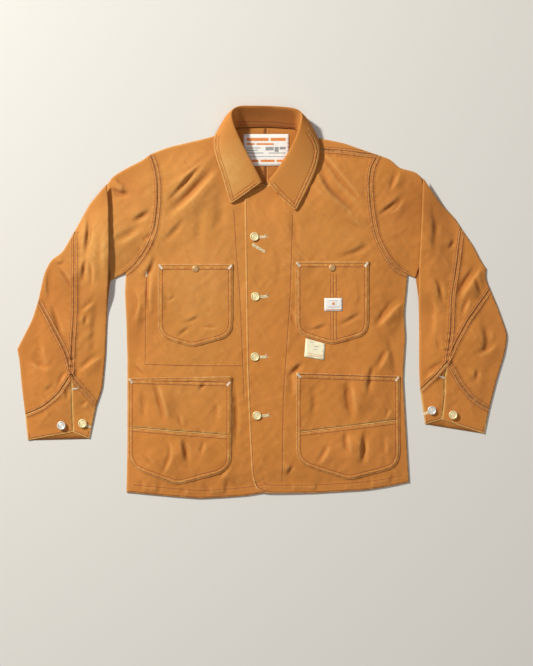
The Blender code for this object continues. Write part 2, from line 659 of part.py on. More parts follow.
def centre_on_origin(scene):
    """Puts the middle of the whole jacket's box, in plan, on the origin."""
    graph = bpy.context.evaluated_depsgraph_get()
    low = Vector((math.inf, math.inf))
    high = Vector((-math.inf, -math.inf))
    for obj in scene.parts.objects:
        if obj.type != "MESH":
            continue
        shown = obj.evaluated_get(graph)
        for vert in shown.data.vertices:
            x, y, _ = obj.matrix_world @ vert.co
            low = Vector((min(low.x, x), min(low.y, y)))
            high = Vector((max(high.x, x), max(high.y, y)))
    scene.root.location = (*(-(low + high) / 2), 0)


Scene = namedtuple("Scene", "parts cutters root canvas white_weave cream_weave brass copper")


def main():
    clear_scene()
    parts = new_collection("chore_jacket")
    cutters = new_collection("outlines")
    cutters.hide_render = True
    root = bpy.data.objects.new("jacket_root", None)
    parts.objects.link(root)
    scene = Scene(
        parts, cutters, root,
        material("duck_canvas", CANVAS, CANVAS_ROUGHNESS),
        material("white_weave", WHITE_WEAVE, 0.7),
        material("cream_weave", CREAM_WEAVE, 0.75),
        material("brass", BRASS, 0.35, 1.0),
        material("copper", COPPER, 0.45, 1.0),
    )
    build_backs(scene)
    fronts = build_fronts(scene)
    build_pockets(scene, fronts)
    sleeves = build_sleeves(scene)
    build_collar(scene)
    build_fasteners(scene, fronts, sleeves)
    build_labels(scene, fronts)
    centre_on_origin(scene)


main()
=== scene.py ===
"""Looks of the chore jacket: every sewn piece as a thin shell of cloth on its CAD solid.

Lengths are millimetres unless a name says otherwise; X, Y and Z are those of the frame.
"""

import math
import random
from collections import namedtuple

import bmesh
import bpy
import numpy as np
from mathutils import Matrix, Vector, noise
from mathutils.bvhtree import BVHTree
from mathutils.geometry import delaunay_2d_cdt


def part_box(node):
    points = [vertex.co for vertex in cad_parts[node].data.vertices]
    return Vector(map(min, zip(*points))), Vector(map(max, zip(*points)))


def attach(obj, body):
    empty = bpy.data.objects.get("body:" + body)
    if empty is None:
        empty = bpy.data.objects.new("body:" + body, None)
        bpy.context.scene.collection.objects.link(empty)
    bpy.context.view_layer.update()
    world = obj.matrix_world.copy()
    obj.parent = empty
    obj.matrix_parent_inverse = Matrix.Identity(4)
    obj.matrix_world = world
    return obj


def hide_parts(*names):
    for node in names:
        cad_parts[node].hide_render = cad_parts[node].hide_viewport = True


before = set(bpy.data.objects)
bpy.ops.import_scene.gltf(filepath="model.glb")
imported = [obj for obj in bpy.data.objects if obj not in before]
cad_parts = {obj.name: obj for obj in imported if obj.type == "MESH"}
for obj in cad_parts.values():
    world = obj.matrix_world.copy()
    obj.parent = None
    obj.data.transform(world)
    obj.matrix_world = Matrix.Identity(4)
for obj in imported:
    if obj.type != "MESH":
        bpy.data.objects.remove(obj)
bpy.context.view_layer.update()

MM = 0.001
CLOTH = 1.4
LAYER = 1.7          # from one layer's underside to the next one's
STEP = 2.7           # spacing of the points on the upper side
BACK_STEP = 9.0
FIELD_STEP = 2.0     # spacing of the height field
PUFF = 6.5           # how far the cloth rises over the back
PUFF_REACH = 42.0    # how far in from the silhouette it gets there
NECK_POINT = (8.0, 300.0)
NECK_FLAT = 150.0    # round the neck point the cloth rises less
NECK_CORE = 0.35     # share of that reach where it doesn't rise
CORNER_ANGLE = math.radians(38)
STRAIGHT = 0.012     # sine of the turn below which an outline's point lies on a straight run

random.seed(7)

# --- Creases of the upper layer: a trough from 1 through 2 to 3, with a ridge on one side of it
# (side 1 is the left when going from 1 to 3, -1 the right, 0 none).

Crease = namedtuple("Crease", "x1 y1 x2 y2 x3 y3 width depth side")
CREASES = tuple(Crease(*row) for row in (
    # right shoulder
    (-91, 276, -145, 218, -195, 172, 11, 4.2, 1),
    (-113, 285, -151, 243, -191, 200, 6, 2.6, -1),
    (-101, 303, -140, 272, -189, 238, 7, 1.4, 1),
    (-79, 236, -82, 180, -85, 126, 18, 1.8, -1),
    (-219, 142, -228, 130, -239, 124, 6, 2.2, 1),
    (-150, 170, -178, 140, -200, 118, 9, 1.6, -1),
    (-120, 200, -126, 160, -128, 100, 13, 1.4, 1),
    (-302, 232, -284, 214, -262, 222, 8, 3.4, 1),
    (-292, 262, -286, 244, -270, 232, 8, 2.4, -1),
    (-262, 160, -240, 172, -220, 186, 8, 2.4, 1),
    (-300, 120, -276, 132, -240, 156, 11, 2.4, -1),
    (-228, 62, -230, 22, -228, -22, 5, 3.2, 1),
    (-214, 96, -222, 66, -242, 42, 7, 2.4, -1),
    (-262, 30, -252, 0, -262, -40, 8, 2.4, 1),
    # left shoulder
    (113, 300, 155, 247, 201, 194, 7, 2.8, 1),
    (109, 286, 133, 232, 205, 172, 12, 3.6, -1),
    (101, 252, 120, 225, 135, 206, 8, 1.3, 1),
    (147, 88, 190, 104, 219, 118, 8, 1.8, 1),
    (60, 200, 64, 150, 70, 100, 12, 1.4, -1),
    (160, 170, 190, 150, 214, 138, 9, 1.6, 1),
    # right sleeve
    (-347, 180, -345, 140, -353, 92, 7, 3.6, -1),
    (-353, 92, -356, 62, -359, 42, 6, 2.8, -1),
    (-345, 84, -341, 60, -343, 30, 5, 2.2, 1),
    (-407, 72, -383, 36, -381, 20, 6, 2.4, 1),
    (-415, 80, -406, 79, -397, 78, 4, 2.2, 1),
    (-421, 82, -427, 52, -425, 6, 7, 2.8, -1),
    (-425, 6, -409, -38, -399, -70, 7, 2.2, -1),
    (-337, 6, -352, -4, -365, -16, 6, 1.8, 1),
    (-351, -22, -353, -34, -355, -46, 5, 1.8, -1),
    (-315, -98, -339, -108, -371, -136, 7, 2.6, 1),
    (-393, -132, -402, -150, -411, -170, 6, 2.2, 1),
    (-391, -172, -390, -184, -389, -194, 5, 1.8, -1),
    (-351, -194, -358, -200, -363, -206, 5, 1.6, 1),
    (-335, -224, -343, -229, -351, -236, 5, 1.6, 1),
    (-320, 160, -326, 100, -322, 40, 10, 1.8, 1),
    (-330, 0, -334, -60, -340, -110, 12, 1.8, -1),
    (-450, -60, -446, -110, -436, -150, 12, 2.2, 1),
    (-466, -110, -440, -124, -418, -128, 8, 1.8, -1),
    (-440, -180, -425, -170, -410, -160, 7, 1.2, 1),
    # left sleeve
    (435, 82, 397, 30, 389, 6, 9, 4.2, 1),
    (335, 56, 351, 42, 361, -4, 7, 2.4, -1),
    (411, 14, 402, -8, 395, -28, 6, 2.2, 1),
    (385, 130, 378, 117, 371, 104, 6, 1.8, -1),
    (361, -116, 333, -136, 317, -148, 7, 3.6, 1),
    (429, -128, 428, -143, 427, -158, 6, 1.8, -1),
    (269, 274, 264, 250, 251, 222, 6, 2.8, 1),
    (279, 210, 252, 190, 227, 172, 6, 2.2, -1),
    (279, 210, 262, 185, 251, 182, 5, 1.8, 1),
    (340, 200, 346, 150, 340, 90, 10, 2.0, -1),
    (330, 30, 336, -20, 332, -80, 11, 2.0, 1),
    (440, -30, 450, -70, 446, -110, 11, 2.4, -1),
    (470, -70, 446, -92, 420, -104, 8, 2.0, 1),
    (420, 60, 432, 30, 440, 10, 7, 1.8, -1),
    (400, -180, 420, -190, 436, -205, 7, 1.2, 1),
    (345, -60, 352, -84, 356, -104, 7, 1.4, -1),
    # where each sleeve's two seams gather
    (366, -62, 374, -60, 383, -62, 4, 2.2, 0),
    (362, -78, 371, -76, 382, -79, 4, 2.4, 0),
    (360, -94, 369, -92, 378, -95, 4, 2.6, 0),
    (360, -108, 368, -106, 376, -109, 4, 2.4, 0),
    (-388, -112, -380, -110, -372, -113, 4, 2.2, 0),
    (-388, -128, -381, -126, -373, -129, 4, 2.4, 0),
    # body
    (-246, -352, -242, -366, -245, -384, 7, 1.8, 1),
    (-208, -358, -204, -370, -206, -388, 7, 1.8, -1),
    (-160, -366, -158, -376, -162, -392, 7, 1.6, 1),
    (-112, -362, -110, -374, -108, -392, 7, 1.8, 1),
    (-70, -352, -72, -366, -68, -388, 7, 1.8, -1),
    (52, -356, 56, -366, 54, -382, 7, 1.6, 1),
    (108, -356, 112, -366, 110, -382, 7, 1.8, -1),
    (160, -360, 162, -368, 158, -378, 7, 1.4, 1),
    (212, -350, 214, -362, 210, -376, 7, 1.6, 1),
    (262, -338, 258, -352, 262, -368, 7, 1.6, -1),
    (283, 12, 259, -2, 221, -48, 9, 4.0, 1),
    (249, -88, 236, -112, 225, -136, 8, 2.2, 1),
    (85, -118, 68, -130, 51, -150, 7, 2.2, -1),
    (55, -12, 60, -32, 65, -54, 6, 1.6, 1),
    (-263, -120, -246, -134, -231, -148, 6, 1.8, 1),
    (-240, 20, -236, -30, -246, -80, 12, 1.6, -1),
    (250, -60, 262, -110, 270, -150, 10, 1.4, -1),
    (-40, 60, -46, 20, -44, -30, 9, 1.0, 1),
    (30, 110, 36, 60, 30, 20, 10, 1.0, -1),
    # right chest pocket
    (-157, -40, -140, -34, -123, -26, 5, 1.6, 1),
    (-171, -68, -157, -56, -143, -46, 5, 1.6, 1),
    (-123, -46, -104, -47, -85, -46, 5, 1.4, -1),
    (-189, 4, -181, 10, -173, 14, 4, 1.4, 1),
    (-195, 40, -190, 0, -196, -36, 9, 1.1, -1),
    # left chest pocket
    (91, -54, 111, -50, 131, -44, 5, 1.6, 1),
    (151, -46, 176, -32, 201, -18, 6, 1.8, 1),
    (188, 60, 196, 20, 190, -20, 8, 1.1, -1),
    # right hip pocket
    (-217, -156, -199, -218, -193, -242, 8, 3.6, 1),
    (-169, -222, -165, -236, -161, -250, 5, 1.6, 1),
    (-111, -156, -120, -166, -129, -176, 6, 1.8, -1),
    (-159, -266, -153, -292, -147, -324, 8, 3.2, -1),
    (-189, -274, -185, -306, -203, -344, 6, 2.2, 1),
    (-117, -270, -121, -288, -125, -306, 6, 1.8, 1),
    (-240, -170, -236, -210, -240, -238, 9, 1.6, -1),
    (-95, -190, -92, -220, -96, -246, 8, 1.4, 1),
    (-56, -138, -52, -230, -55, -304, 8, 2.2, -1),
    (-65, -324, -79, -338, -93, -354, 6, 1.8, 1),
    (-240, -300, -228, -316, -214, -328, 7, 1.4, 1),
    # left hip pocket
    (173, -150, 169, -174, 179, -236, 11, 4.0, 1),
    (221, -120, 215, -150, 209, -186, 7, 2.2, -1),
    (253, -208, 248, -220, 243, -230, 5, 1.6, 1),
    (165, -256, 165, -284, 173, -304, 7, 3.0, 1),
    (203, -254, 203, -292, 199, -324, 8, 3.2, -1),
    (133, -274, 122, -298, 107, -322, 7, 2.0, 1),
    (54, -136, 58, -170, 56, -192, 8, 2.0, 1),
    (63, -320, 56, -332, 49, -346, 6, 1.8, -1),
    (100, -160, 104, -200, 98, -240, 10, 1.4, -1),
    (244, -260, 240, -290, 246, -316, 8, 1.6, 1),
))

# --- Outline tools.


def upper_loop(node):
    """The outline, in plan, of a node's upper face."""
    bm = bmesh.new()
    bm.from_mesh(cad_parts[node].data)
    bmesh.ops.remove_doubles(bm, verts=bm.verts[:], dist=1e-6)
    rim = {}
    for edge in bm.edges:
        facing = [face.normal.z > 0.3 for face in edge.link_faces]
        if facing.count(True) == 1:
            a, b = edge.verts
            rim.setdefault(a, []).append(b)
            rim.setdefault(b, []).append(a)
    start = next(iter(rim))
    loop = [start]
    before, here = None, start
    while True:
        options = [v for v in rim[here] if v is not before]
        before, here = here, options[0]
        if here is start or len(loop) > len(rim):
            break
        loop.append(here)
    points = np.array([(v.co.x / MM, v.co.y / MM) for v in loop])
    bm.free()
    following = np.roll(points, -1, axis=0)
    area = (points[:, 0] * following[:, 1] - following[:, 0] * points[:, 1]).sum() / 2
    return points if area > 0 else points[::-1]


def corners_only(points):
    """The outline without the points that lie on straight runs."""
    kept = []
    count = len(points)
    for i in range(count):
        before = points[i] - points[i - 1]
        after = points[(i + 1) % count] - points[i]
        size = np.linalg.norm(before) * np.linalg.norm(after)
        if size < 1e-9:
            continue
        turn = (before[0] * after[1] - before[1] * after[0]) / size
        if abs(turn) > STRAIGHT:
            kept.append(points[i])
    return np.array(kept)


def resample(run, step):
    lengths = np.linalg.norm(np.diff(run, axis=0), axis=1)
    along = np.concatenate(([0], np.cumsum(lengths)))
    count = max(int(round(along[-1] / step)), 1)
    where = np.linspace(0, along[-1], count + 1)
    return np.stack([np.interp(where, along, run[:, k]) for k in range(run.shape[1])], axis=1)


def relax(run, rounds=14):
    """Rounds off an open run, with its ends held."""
    run = run.copy()
    for _ in range(rounds):
        run[1:-1] += 0.25 * (run[:-2] + run[2:] - 2 * run[1:-1])
    return run


def smooth_loop(points, step):
    """The outline as an even, rounded loop that keeps its sharp corners."""
    base = corners_only(points)
    before = base - np.roll(base, 1, axis=0)
    after = np.roll(base, -1, axis=0) - base
    angle = np.arctan2(before[:, 0] * after[:, 1] - before[:, 1] * after[:, 0],
                       (before * after).sum(1))
    sharp = [i for i in range(len(base)) if abs(angle[i]) > CORNER_ANGLE] or [0]
    loop = []
    for k, first in enumerate(sharp):
        last = sharp[(k + 1) % len(sharp)]
        count = (last - first) % len(base) or len(base)
        run = base[[(first + i) % len(base) for i in range(count + 1)]]
        loop.append(relax(resample(run, step))[:-1])
    return np.concatenate(loop)


def nearest_on(points, run, closed=False):
    """Distance, share of the run's length and side (+1 left) of each point's nearest spot on a run."""
    ends = np.vstack([run, run[:1]]) if closed else run
    a, b = ends[:-1], ends[1:]
    span = b - a
    size = np.maximum((span**2).sum(1), 1e-12)
    lengths = np.sqrt(size)
    begin = np.concatenate(([0], np.cumsum(lengths)))[:-1]
    distance = np.full(len(points), np.inf)
    share = np.zeros(len(points))
    side = np.ones(len(points))
    for i in range(len(a)):
        rel = points - a[i]
        t = np.clip(rel @ span[i] / size[i], 0, 1)
        gap = np.hypot(rel[:, 0] - t * span[i, 0], rel[:, 1] - t * span[i, 1])
        closer = gap < distance
        distance[closer] = gap[closer]
        share[closer] = (begin[i] + t[closer] * lengths[i]) / lengths.sum()
        cross = span[i, 0] * rel[:, 1] - span[i, 1] * rel[:, 0]
        side[closer] = np.where(cross[closer] >= 0, 1, -1)
    return distance, share, side


def within(points, loop):
    inside = np.zeros(len(points), bool)
    x, y = points[:, 0], points[:, 1]
    for (ax, ay), (bx, by) in zip(loop, np.roll(loop, -1, axis=0)):
        if ay == by:
            continue
        crosses = (ay > y) != (by > y)
        inside ^= crosses & (x < ax + (y - ay) / (by - ay) * (bx - ax))
    return inside


def ease(value, start, end):
    share = np.clip((value - start) / (end - start), 0, 1)
    return share * share * (3 - 2 * share)


def leftward(run):
    """Unit vectors that point to the left of a run in plan."""
    along = np.gradient(run, axis=0)
    along /= np.maximum(np.linalg.norm(along, axis=1, keepdims=True), 1e-9)
    return np.stack([-along[:, 1], along[:, 0]], axis=1)


def offset_run(run, amount):
    """The run moved to its left by the amount."""
    return run + amount * leftward(run)


def shared_run(node, others, reach=1.2):
    """The longest stretch of a node's outline that runs along another node's, ordered."""
    loop = loops[node]
    other = np.concatenate([loops[name] for name in others])
    gap = np.array([np.hypot(*(other - point).T).min() for point in loop])
    near = gap < reach + STEP / 2
    start = next((i for i in range(len(loop)) if near[i] and not near[i - 1]), 0)
    order = [(start + i) % len(loop) for i in range(len(loop))]
    runs, run = [], []
    for i in order:
        if near[i]:
            run.append(loop[i])
        elif run:
            runs.append(run)
            run = []
    if run:
        runs.append(run)
    return np.array(max(runs, key=len))


FRONTS = ("front_right", "front_left")
SLEEVE_TOPS = ("sleeve_inner", "sleeve_outer", "sleeve_elbow", "cuff_outer", "cuff_inner")
SIDES = ("right", "left")
UPPER = FRONTS + tuple(f"{part}_{side}" for side in SIDES for part in ("sleeve_cap",) + SLEEVE_TOPS)
CHEST = ("chest_pocket_right", "chest_pocket_left")
HIPS = tuple(f"hip_pocket_{side}_{part}" for side in SIDES for part in ("upper", "lower"))
BACKS = ("back_right", "back_left", "sleeve_back_right", "sleeve_back_left")
loops = {name: smooth_loop(upper_loop(name), STEP)
         for name in UPPER + CHEST + HIPS + BACKS + ("back_turn_left",)}

# --- The height field of the upper layer's underside.

FIELD_LOW = np.array([-500.0, -404.0])
FIELD_COUNT = (501, 405)


def field_points():
    xs = FIELD_LOW[0] + FIELD_STEP * np.arange(FIELD_COUNT[0])
    ys = FIELD_LOW[1] + FIELD_STEP * np.arange(FIELD_COUNT[1])
    return np.stack(np.meshgrid(xs, ys, indexing="ij"), axis=-1)


def window(points, low, high):
    """The slice of the field inside a box."""
    first = np.maximum(np.floor((low - FIELD_LOW) / FIELD_STEP).astype(int), 0)
    last = np.minimum(np.ceil((high - FIELD_LOW) / FIELD_STEP).astype(int) + 1, FIELD_COUNT)
    return slice(first[0], last[0]), slice(first[1], last[1])


def distance_inside(mask):
    """For each cell of the mask, how far it is from the nearest cell outside."""
    padded = np.pad(mask, 1)
    core = padded[:-2, 1:-1] & padded[2:, 1:-1] & padded[1:-1, :-2] & padded[1:-1, 2:]
    edge = np.argwhere(mask & ~core)
    cells = np.argwhere(mask)
    nearest = np.empty(len(cells))
    for first in range(0, len(cells), 4000):
        part = cells[first:first + 4000]
        gaps = ((part[:, None, :] - edge[None]) ** 2).sum(2)
        nearest[first:first + 4000] = gaps.min(1)
    inside = np.zeros(mask.shape)
    inside[mask] = np.sqrt(nearest) * FIELD_STEP
    return inside


def shifted_any(mask):
    padded = np.pad(mask, 1)
    return padded[:-2, 1:-1] | padded[2:, 1:-1] | padded[1:-1, :-2] | padded[1:-1, 2:] | mask


def shifted_all(mask):
    return ~shifted_any(~mask)


TROUGH_SHARE = 0.66      # the trough's reach, in the crease's widths
RIDGE_PLACE = 1.1        # so are the next three: where the ridge stands
RIDGE_STEEP = 0.60       # and its reach towards the trough
RIDGE_GENTLE = 2.3       # and away from it
RIDGE_SHARE = 0.95       # its height, in depths of the trough
CREASE_GAIN = 1.55
EVEN_DEPTH = 3.0         # this depth is kept before the gain; less gets less, and more gets more
CREASE_REACH = 6.0


def add_crease(field, points, crease):
    knots = np.array([(crease.x1, crease.y1), (crease.x2, crease.y2), (crease.x3, crease.y3)])
    run = relax(resample(knots, 4), 8)
    reach = CREASE_REACH * crease.width
    cut = window(points, run.min(0) - reach, run.max(0) + reach)
    spots = points[cut].reshape(-1, 2)
    distance, share, side = nearest_on(spots, run)
    envelope = ease(share, -0.05, 0.5) * (1 - ease(share, 0.5, 1.05))
    signed = distance * side
    narrow = TROUGH_SHARE * crease.width
    shape = -np.exp(-((signed / narrow) ** 2))
    if crease.side:
        beside = signed * crease.side / crease.width - RIDGE_PLACE
        steep = np.where(beside < 0, RIDGE_STEEP, RIDGE_GENTLE)
        shape += RIDGE_SHARE * np.exp(-((beside / steep) ** 2))
    deep = CREASE_GAIN * crease.depth * math.sqrt(crease.depth / EVEN_DEPTH)
    field[cut] += (deep * envelope * shape).reshape(field[cut].shape)


Seam = namedtuple("Seam", "run half_width lift pucker")
SEAM_REACH = 16          # past the band's edge, where its puckers have died out
GROOVE_WIDTH = 1.6
GROOVE_DEPTH = 0.35
DIP_SHARE = 0.35         # the dip beside the band, in lifts of the band
DIP_AWAY = 4
PUCKER_AWAY = 6


def add_seam(field, points, seam):
    """A felled seam: a slightly raised band with soft puckers along it."""
    reach = seam.half_width + SEAM_REACH
    cut = window(points, seam.run.min(0) - reach, seam.run.max(0) + reach)
    spots = points[cut].reshape(-1, 2)
    distance, share, _ = nearest_on(spots, seam.run)
    length = np.linalg.norm(np.diff(seam.run, axis=0), axis=1).sum()
    along = share * length
    band = 1 - ease(distance, seam.half_width - 1.2, seam.half_width + 1.8)
    groove = GROOVE_DEPTH * np.exp(-((distance / GROOVE_WIDTH) ** 2))
    ripple = np.sin(along * 0.62 + 1.7 * np.sin(along * 0.11)) * np.sin(along * 0.23 + 0.6)
    fade = np.exp(-((distance / (seam.half_width + PUCKER_AWAY)) ** 2))
    dip = DIP_SHARE * np.exp(-(((distance - seam.half_width - DIP_AWAY) / DIP_AWAY) ** 2))
    change = seam.lift * (band - dip) - groove + seam.pucker * ripple * fade
    field[cut] += change.reshape(field[cut].shape)


def crinkle(x, y, layer):
    """Noise with rounded crests where it passes through nothing."""
    value = noise.noise(Vector((x, y, layer)))
    return 0.24 - math.sqrt(value * value + 0.003)


def wave_at(x, y):
    """Broad swells, three sets of crinkles that cross, and fine grain."""
    return (1.2 * noise.noise(Vector((x / 52, y / 64, 1.3)))
            + 1.25 * crinkle((x + y) / 34, (x - y) / 85, 4.4)
            + 1.0 * crinkle((x - y) / 26, (x + y) / 60, 11.2)
            + 0.75 * crinkle((x + 0.6 * y) / 14, y / 30, 2.6)
            + 0.20 * noise.noise(Vector((x / 11, y / 13, 7.1))))


WAVE_GAIN = 1.25
WAVE_REACH = 30          # how far in from the silhouette the waves get their full height
SETTLED = 1.0            # heights under this are eased, so that none goes below the back


def build_field():
    points = field_points()
    flat = points.reshape(-1, 2)
    mask = np.zeros(len(flat), bool)
    for name in UPPER + ("back_turn_left",):
        loop = loops[name]
        box_low, box_high = loop.min(0) - 1, loop.max(0) + 1
        near = ((flat >= box_low) & (flat <= box_high)).all(1)
        mask[near] |= within(flat[near], loop)
    mask = shifted_all(shifted_any(mask.reshape(FIELD_COUNT)))
    inside = distance_inside(mask)
    height = PUFF * (1 - np.exp(-((inside / PUFF_REACH) ** 2)))
    from_neck = np.hypot(points[..., 0] - NECK_POINT[0], points[..., 1] - NECK_POINT[1])
    height *= ease(from_neck, NECK_FLAT * NECK_CORE, NECK_FLAT)
    for crease in CREASES:
        add_crease(height, points, crease)
    for seam in SEAMS:
        add_seam(height, points, seam)
    waves = np.array([[wave_at(x, y) for x, y in column] for column in points])
    height += WAVE_GAIN * waves * ease(inside, 0, WAVE_REACH)
    eased = np.where(height > SETTLED, height, np.exp(np.minimum(height, SETTLED) - SETTLED))
    return LAYER + eased * ease(inside, -4, 12)


def sample(field, points):
    """The field at any points, by linear blending."""
    place = (points - FIELD_LOW) / FIELD_STEP
    place = np.clip(place, 0, np.array(FIELD_COUNT) - 1.001)
    i, j = place.astype(int).T
    u, v = (place - place.astype(int)).T
    return ((field[i, j] * (1 - u) + field[i + 1, j] * u) * (1 - v)
            + (field[i, j + 1] * (1 - u) + field[i + 1, j + 1] * u) * v)


# --- Seams that press into the cloth: those between pieces come from the frame.

STITCHED_LINES = tuple(np.array(points, float) for points in (
    ((60, 176), (55, 16), (49, -74), (41, -194), (39, -356)),        # the left front's facing
    ((-57, 186), (-52, 96), (-46, 25), (-42, -54), (-37, -190)),     # the right front's
    ((-231, 56), (-233, 30), (-234, -122)),                          # the inner pocket's side
    ((-234, -122), (-140, -125), (-38, -125)),                       # and its foot
))
COLLAR_EDGE_X = 121.0    # where the shoulder seam comes out from under the collar


def seam_runs():
    runs = {}
    for side in SIDES:
        runs["armhole_" + side] = shared_run("sleeve_cap_" + side, ["front_" + side])
        runs["forearm_" + side] = shared_run("sleeve_outer_" + side, ["sleeve_inner_" + side])
        runs["elbow_" + side] = shared_run("sleeve_outer_" + side, ["sleeve_elbow_" + side])
        runs["cuff_outer_" + side] = shared_run("cuff_outer_" + side, ["sleeve_elbow_" + side])
        runs["cuff_inner_" + side] = shared_run("cuff_inner_" + side, ["sleeve_inner_" + side])
    shoulder = shared_run("front_left", ["back_turn_left"])
    runs["shoulder_left"] = shoulder[shoulder[:, 0] > COLLAR_EDGE_X]
    return {name: relax(resample(run, 3.0), 10) for name, run in runs.items()}


RUNS = seam_runs()
SEAMS = [Seam(run, half_width=7.0, lift=0.9, pucker=0.42) for run in RUNS.values()]
SEAMS += [Seam(resample(line, 3.0), half_width=1.5, lift=0.1, pucker=0.08) for line in STITCHED_LINES]


def hem_run(node, low_y):
    """The bottom edge of a front, from right to left."""
    loop = loops[node]
    low = loop[loop[:, 1] < low_y]
    return low[np.argsort(low[:, 0])]


HEMS = {"front_right": hem_run("front_right", -374), "front_left": hem_run("front_left", -352)}
SEAMS += [Seam(relax(resample(offset_run(run, 9), 4.0)), half_width=8.0, lift=0.5, pucker=0.25)
          for run in HEMS.values()]

FIELD = build_field()
PADDED = np.pad(FIELD, 1, mode="edge")
BEND = PADDED[:-2, 1:-1] + PADDED[2:, 1:-1] + PADDED[1:-1, :-2] + PADDED[1:-1, 2:] - 4 * FIELD


# --- How far each piece lies above the field.


LIP_LIFT = 8.0           # how far a sleeve's folded edge stands over its cap
FOLD_X = {"right": 304.0, "left": 315.0}     # how far out that edge lies
LIP_FLAT, LIP_END = 12, 70                   # outwards from the fold, where the lift fades
LIP_LOW, LIP_HIGH = -30, 34                  # up the sleeve, where it comes in


def on_field(points):
    return np.zeros(len(points))


def over_right_front(points):
    return LAYER * (1 - ease(points[:, 0], 30, 120))


def over_cap(side, outward):
    def lift(points):
        beyond = outward * points[:, 0] - FOLD_X[side]
        high = (1 - ease(beyond, LIP_FLAT, LIP_END)) * ease(points[:, 1], LIP_LOW, LIP_HIGH)
        return (LAYER + LIP_LIFT) * high

    return lift


LIFTS = {"front_right": on_field, "front_left": over_right_front, "back_turn_left": on_field}
for side, outward in (("right", -1), ("left", 1)):
    LIFTS["sleeve_cap_" + side] = on_field
    for part in SLEEVE_TOPS:
        LIFTS[f"{part}_{side}"] = over_cap(side, outward)


def patch_lift(under, gape=0.0, mouth_y=0.0):
    """One layer above the piece under it, gaping a little towards a mouth."""

    def lift(points):
        open_up = gape * np.exp(-np.abs(mouth_y - points[:, 1]) / 9)
        return LIFTS[under](points) + LAYER + open_up

    return lift


for side, chest_y, hip_y in (("right", 78, -147), ("left", 83, -140)):
    front = "front_" + side
    LIFTS["chest_pocket_" + side] = patch_lift(front, 1.6, chest_y)
    LIFTS[f"hip_pocket_{side}_upper"] = patch_lift(front, 2.6, hip_y)
    LIFTS[f"hip_pocket_{side}_lower"] = patch_lift(front)


# --- Materials.


class Nodes:
    """Short calls for building a node material."""

    def __init__(self, name, surface):
        self.material = bpy.data.materials.new(name)
        self.material.use_nodes = True
        self.tree = self.material.node_tree
        self.shader = self.tree.nodes["Principled BSDF"]
        self.surface(surface)

    def surface(self, values):
        for key, value in values.items():
            self.set(self.shader, key, value)

    def add(self, kind, inputs=None, **settings):
        node = self.tree.nodes.new(kind)
        for key, value in settings.items():
            setattr(node, key, value)
        for key, value in (inputs or {}).items():
            self.set(node, key, value)
        return node

    def set(self, node, key, value):
        if isinstance(value, bpy.types.NodeSocket):
            self.tree.links.new(value, node.inputs[key])
        else:
            node.inputs[key].default_value = value

    def mix(self, factor, first, second, blend="MIX"):
        inputs = {0: factor, 6: first, 7: second}
        return self.add("ShaderNodeMix", inputs, data_type="RGBA", blend_type=blend).outputs[2]

    def math(self, operation, first, second):
        return self.add("ShaderNodeMath", {0: first, 1: second}, operation=operation).outputs[0]

    def ramp(self, factor, low, high):
        return self.add("ShaderNodeMapRange", {0: factor, 1: low, 2: high}).outputs[0]

    def patchy(self, amount, mask, low, high):
        """The amount where the mask is over high, and none where it is under low."""
        return self.math("MULTIPLY", amount, self.ramp(mask, low, high))

    def position(self):
        return self.add("ShaderNodeTexCoord").outputs["Object"]

    def noise(self, position, scale, detail=3.0, roughness=0.55):
        node = self.add("ShaderNodeTexNoise", {"Vector": position, "Scale": scale, "Detail": detail,
                                               "Roughness": roughness})
        return node.outputs["Fac"]

    def attribute(self, name):
        return self.add("ShaderNodeAttribute", attribute_name=name).outputs["Fac"]

    def bump(self, height, strength, distance, **under):
        inputs = {"Height": height, "Strength": strength, "Distance": distance, **under}
        return self.add("ShaderNodeBump", inputs).outputs["Normal"]

    def weave(self, position, pitch, distance):
        """Over-and-under yarns of a plain weave."""
        bands = []
        for direction in ("X", "Y"):
            inputs = {"Vector": position, "Scale": WAVE_SCALE / pitch, "Distortion": 0.6, "Detail": 1.0,
                      "Detail Scale": 3.0}
            wave = self.add("ShaderNodeTexWave", inputs, wave_type="BANDS", bands_direction=direction)
            bands.append(wave.outputs["Fac"])
        return self.bump(self.math("MAXIMUM", *bands), 0.35, distance)


def rgb(red, green, blue):
    return (red, green, blue, 1.0)


# Tones of the canvas: the deep tone serves both random darker patches and painted shade; the pale worn
# tone serves both wear and painted highlight.
CANVAS_BASE = rgb(0.590, 0.222, 0.040)
CANVAS_DEEP = rgb(0.300, 0.085, 0.016)
CANVAS_LIGHT = rgb(0.640, 0.240, 0.050)
CANVAS_WORN_AND_HIGHLIGHT = rgb(0.840, 0.600, 0.215)
CANVAS_SURFACE = {"Roughness": 0.88, "Specular IOR Level": 0.22, "Sheen Weight": 0.12,
                  "Sheen Roughness": 0.6, "Sheen Tint": rgb(1.0, 0.86, 0.66)}
THREAD_SURFACE = {"Roughness": 0.7}
LABEL_SURFACE = {"Roughness": 0.75, "Sheen Weight": 0.1}
WAVE_SCALE = 314.16     # the wave texture's scale for one band a millimetre
WEAVE_PITCH = 0.95      # mm between yarns
LABEL_PITCH = 0.5


